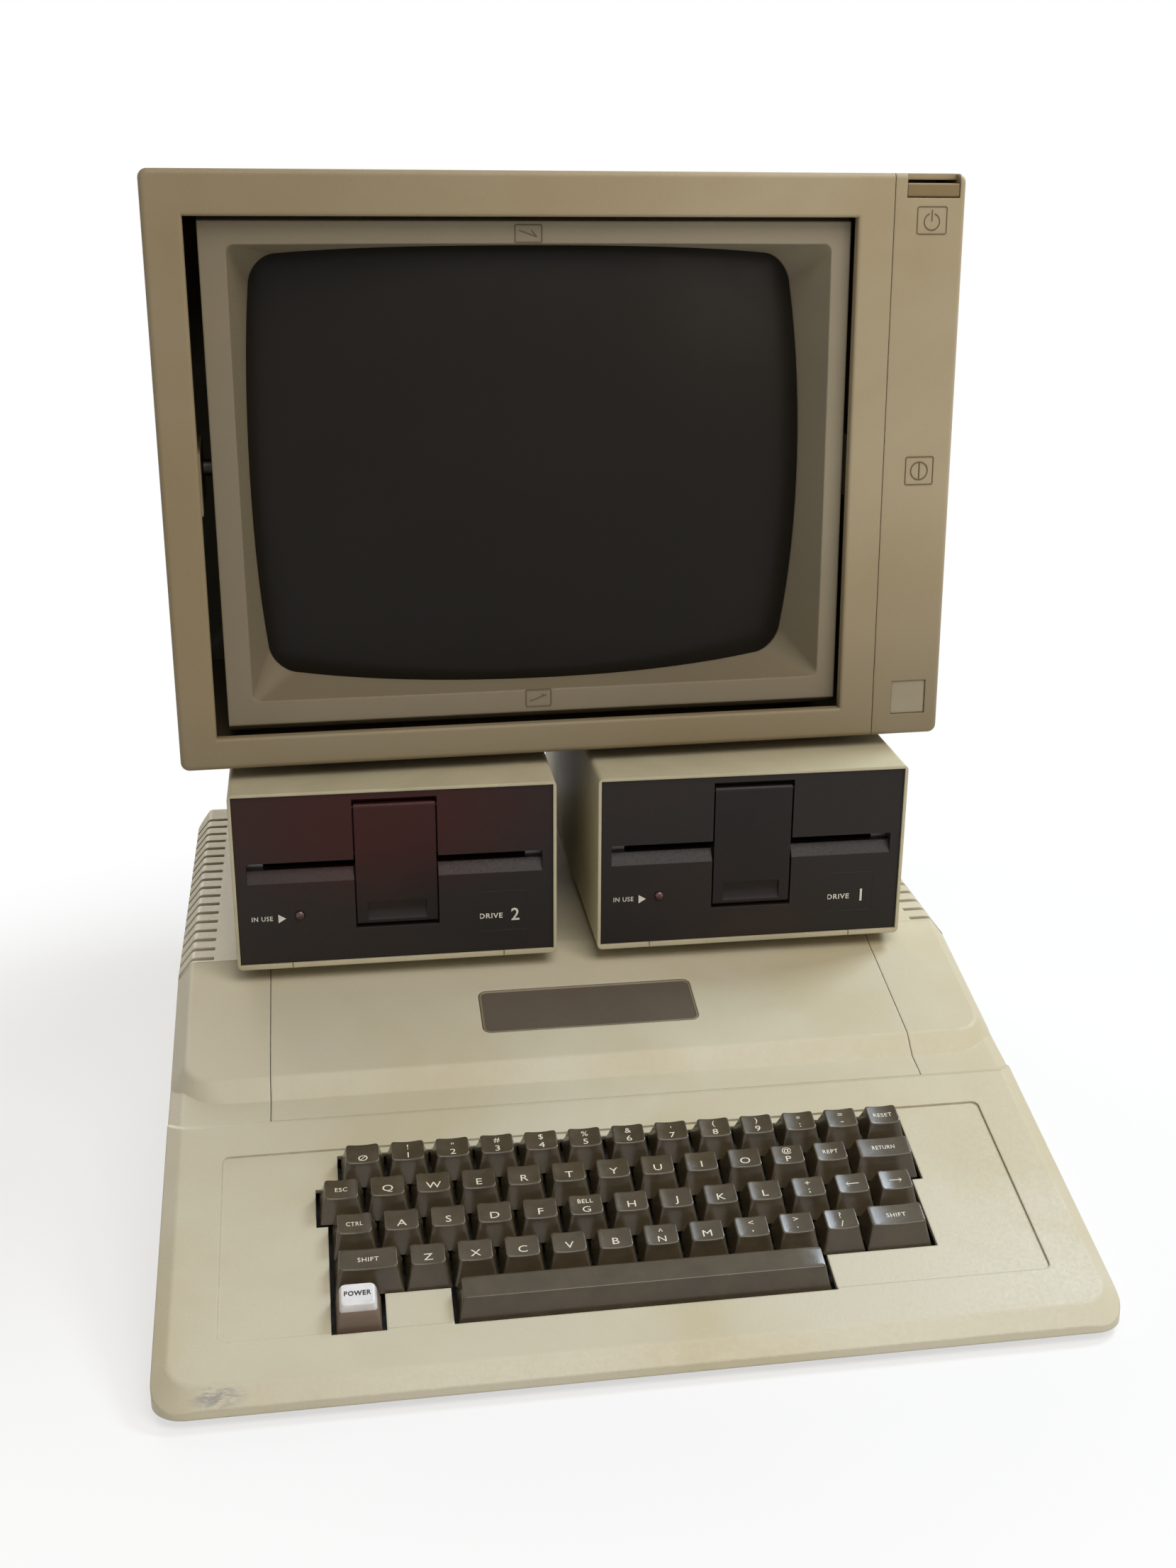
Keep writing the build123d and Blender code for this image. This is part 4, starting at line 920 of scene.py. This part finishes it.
class HOMECOMPUTER_OT_symbols(bpy.types.Operator):
    """Raise the small control symbols on the monitor's front"""
    bl_idname = "home_computer.symbols"
    bl_label = "Monitor Symbols"
    bl_options = {"REGISTER", "UNDO"}

    def execute(self, context):
        # Painted shade: the raised symbol lines on the panel and the screen frame take a dark beige that
        # stands in for the shade of engraved lines.
        line = ink_material("symbol_shade_line", (0.40, 0.34, 0.24), 0.5)
        points, faces = [], []
        panel = FACE @ Matrix.Translation((0, 0.05, 0))
        for path, width, rise, closed in (
                (box_path(161.3, 175.4, 239.2, 251.2), 0.55, 0.35, True),
                (arc_path(168.3, 244.6, 3.7, 70, -250), 0.6, 0.35, False),
                ([(168.3, 244.8), (168.3, 247.0), (168.3, 249.8)], 0.6, 0.35, False),
                (box_path(161.4, 175.1, 124.4, 137.5), 0.6, 0.4, True),
                (arc_path(168.2, 130.9, 4.2, 0, 360), 0.65, 0.4, False),
                ([(168.2, 126.9), (168.2, 131.0), (168.2, 134.9)], 0.75, 0.4, False)):
            strip_line(points, faces, path, width, rise, panel, closed)
        mesh = mesh_from("panel_symbols", points, faces)
        new_object("panel_symbols", mesh, line, "set")
        points, faces = [], []
        bezel = FACE @ Matrix.Translation((0, 8.05, 0))
        for left, right, low, high, lean in ((-23.5, -11.5, 235.4, 242.8, 1), (-21.5, -9.4, 21.6, 29.8, -1)):
            x, z = (left + right) / 2, (low + high) / 2
            beam = [(x - 4.2, z + 1.4 * lean), (x, z), (x + 3.8, z - 1.4 * lean)]
            tick = [(x + 1.2, z + 1.6), (x + 3.8, z - 1.2 * lean)]
            strip_line(points, faces, box_path(left, right, low, high, 0.6), 0.65, 0.4, bezel, closed=True)
            strip_line(points, faces, beam, 0.55, 0.35, bezel)
            strip_line(points, faces, tick, 0.5, 0.35, bezel)
        mesh = mesh_from("tilt_symbols", points, faces)
        new_object("tilt_symbols", mesh, line, "screen")
        return {"FINISHED"}


class HOMECOMPUTER_OT_screen(bpy.types.Operator):
    """Finish the picture tube"""
    bl_idname = "home_computer.screen"
    bl_label = "Picture Tube"
    bl_options = {"REGISTER", "UNDO"}

    def execute(self, context):
        dress(glass_material(), "picture_tube")
        return {"FINISHED"}


def lamp(name, place, aim, power, size, colour):
    """An area lamp at a place, turned to another."""
    data = bpy.data.lights.new(name, "AREA")
    data.energy = power
    data.shape = "RECTANGLE"
    data.size, data.size_y = size
    data.color = colour
    holder = bpy.data.objects.new(name, data)
    bpy.context.scene.collection.objects.link(holder)
    holder.location = place
    holder.rotation_euler = (Vector(aim) - Vector(place)).to_track_quat("-Z", "Y").to_euler()


def white_rays(tree):
    """1 for rays that come from the camera, a mirror or clear glass."""
    path = tree.nodes.new("ShaderNodeLightPath")
    total = path.outputs["Is Camera Ray"]
    for name in ("Is Glossy Ray", "Is Transmission Ray"):
        joined = tree.nodes.new("ShaderNodeMath")
        joined.operation = "MAXIMUM"
        tree.links.new(total, joined.inputs[0])
        tree.links.new(path.outputs[name], joined.inputs[1])
        total = joined.outputs[0]
    return total


def make_floor():
    """A pale round floor that keeps the shadow and turns white away from it."""
    turns = [i * math.tau / 48 for i in range(48)]
    points, faces = [], []
    skin([[Vector((radius * math.cos(turn), radius * math.sin(turn), 0)) for turn in turns]
          for radius in (0.0001, 0.35, 0.6, 0.9, 1.4, 2.4, 6.0)], points, faces)
    mesh = mesh_from("floor", points, faces)
    shader = Shader("pale_floor", (0.86, 0.86, 0.86, 1))
    cloud = shader.noise(3.0, 2.0)
    shader.colour = shader.mix(cloud, (0.85, 0.85, 0.85, 1), (0.88, 0.88, 0.875, 1))
    material = shader.finish(0.9, shader.noise(200.0), 0.0001, 0.05)
    tree = material.node_tree
    glow = shader.add("ShaderNodeEmission", {"Color": (1, 1, 1, 1), "Strength": 1.0}).outputs[0]
    away = shader.add("ShaderNodeVectorMath", {0: shader.place}, operation="LENGTH").outputs["Value"]
    share = shader.ramp(away, 0.28, 0.55, 0.62, 1.0)
    amount = shader.maths("MULTIPLY", share, white_rays(tree))
    mixer = shader.add("ShaderNodeMixShader", {0: amount, 1: shader.surface.outputs[0], 2: glow})
    tree.links.new(mixer.outputs[0], tree.nodes["Material Output"].inputs["Surface"])
    floor = bpy.data.objects.new("floor", mesh)
    bpy.context.scene.collection.objects.link(floor)
    mesh.materials.append(material)


def make_sky(strength):
    """Even light from all round; white where the camera sees it."""
    world = bpy.data.worlds.new("even_light")
    bpy.context.scene.world = world
    world.use_nodes = True
    tree = world.node_tree
    tree.nodes.clear()
    out = tree.nodes.new("ShaderNodeOutputWorld")
    mixer = tree.nodes.new("ShaderNodeMixShader")
    light = tree.nodes.new("ShaderNodeBackground")
    light.inputs[0].default_value = (1.0, 0.92, 0.78, 1)
    light.inputs[1].default_value = strength
    white = tree.nodes.new("ShaderNodeBackground")
    white.inputs[0].default_value = (1, 1, 1, 1)
    white.inputs[1].default_value = 1.0
    tree.links.new(white_rays(tree), mixer.inputs[0])
    tree.links.new(light.outputs[0], mixer.inputs[1])
    tree.links.new(white.outputs[0], mixer.inputs[2])
    tree.links.new(mixer.outputs[0], out.inputs[0])


class HOMECOMPUTER_OT_stage(bpy.types.Operator):
    """Set the camera, the lamps, the pale floor and the even light"""
    bl_idname = "home_computer.stage"
    bl_label = "Stage"
    bl_options = {"REGISTER", "UNDO"}

    def execute(self, context):
        scene = bpy.context.scene
        s = look().stage
        east, north = math.sin(CAMERA_YAW), math.cos(CAMERA_YAW)
        level = math.cos(CAMERA_PITCH)
        forward = Vector((east * level, north * level, -math.sin(CAMERA_PITCH)))
        right = Vector((north, -east, 0))
        up = right.cross(forward)
        data = bpy.data.cameras.new("viewpoint")
        data.sensor_fit = "HORIZONTAL"
        data.sensor_width = 36.0
        data.lens = s.lens
        data.shift_x, data.shift_y = CAMERA_SHIFT
        data.clip_start, data.clip_end = 0.02, 50.0
        camera = bpy.data.objects.new("viewpoint", data)
        scene.collection.objects.link(camera)
        turn = Matrix((right, up, -forward)).transposed().to_4x4()
        camera.matrix_world = Matrix.Translation(PART @ Vector(CAMERA_PLACE)) @ turn
        scene.camera = camera
        scene.view_settings.view_transform = "Standard"
        lamp("main_lamp", (0.92, 0.20, 1.28), (0.05, -0.15, 0.1), s.key_power, (0.4, 0.4), (0.74, 0.88, 1.0))
        lamp("top_lamp", (0.42, -1.05, 1.55), (0.02, -0.10, 0.1), s.top_power, (1.3, 1.0), (1.0, 0.97, 0.92))
        lamp("fill_lamp", (1.25, -1.35, 0.9), (0.05, 0, 0.3), s.fill_power, (0.8, 0.8), (1.0, 0.84, 0.70))
        lamp("back_lamp", (-0.70, 1.60, 0.95), (0, 0.10, 0.2), s.back_power, (0.9, 0.9), (1.0, 0.95, 0.88))
        make_floor()
        make_sky(s.sky)
        return {"FINISHED"}


OPERATORS = (HOMECOMPUTER_OT_case, HOMECOMPUTER_OT_insides, HOMECOMPUTER_OT_keycaps, HOMECOMPUTER_OT_legends,
             HOMECOMPUTER_OT_power_lamp, HOMECOMPUTER_OT_nameplate, HOMECOMPUTER_OT_drives,
             HOMECOMPUTER_OT_monitor, HOMECOMPUTER_OT_symbols, HOMECOMPUTER_OT_screen, HOMECOMPUTER_OT_stage)


class HOMECOMPUTER_PT_panel(bpy.types.Panel):
    """Lists the set's pieces and settings"""
    bl_idname = "HOMECOMPUTER_PT_panel"
    bl_label = "Home Computer"
    bl_space_type = "VIEW_3D"
    bl_region_type = "UI"
    bl_category = "Home Computer"

    def draw(self, context):
        settings = context.scene.home_computer
        for group in (settings.case, settings.keys, settings.drives, settings.stage):
            box = self.layout.box()
            for name in group.__annotations__:
                box.prop(group, name)
        column = self.layout.column()
        for operator in OPERATORS:
            column.operator(operator.bl_idname)


CLASSES = (CaseLook, KeyLook, DriveLook, StageLook, HomeComputerLook, *OPERATORS, HOMECOMPUTER_PT_panel)


def register():
    for cls in CLASSES:
        bpy.utils.register_class(cls)
    bpy.types.Scene.home_computer = bpy.props.PointerProperty(type=HomeComputerLook)


def unregister():
    del bpy.types.Scene.home_computer
    for cls in reversed(CLASSES):
        bpy.utils.unregister_class(cls)


def main():
    register()
    for operator in OPERATORS:
        group, name = operator.bl_idname.split(".")
        getattr(getattr(bpy.ops, group), name)()


if __name__ == "__main__":
    main()
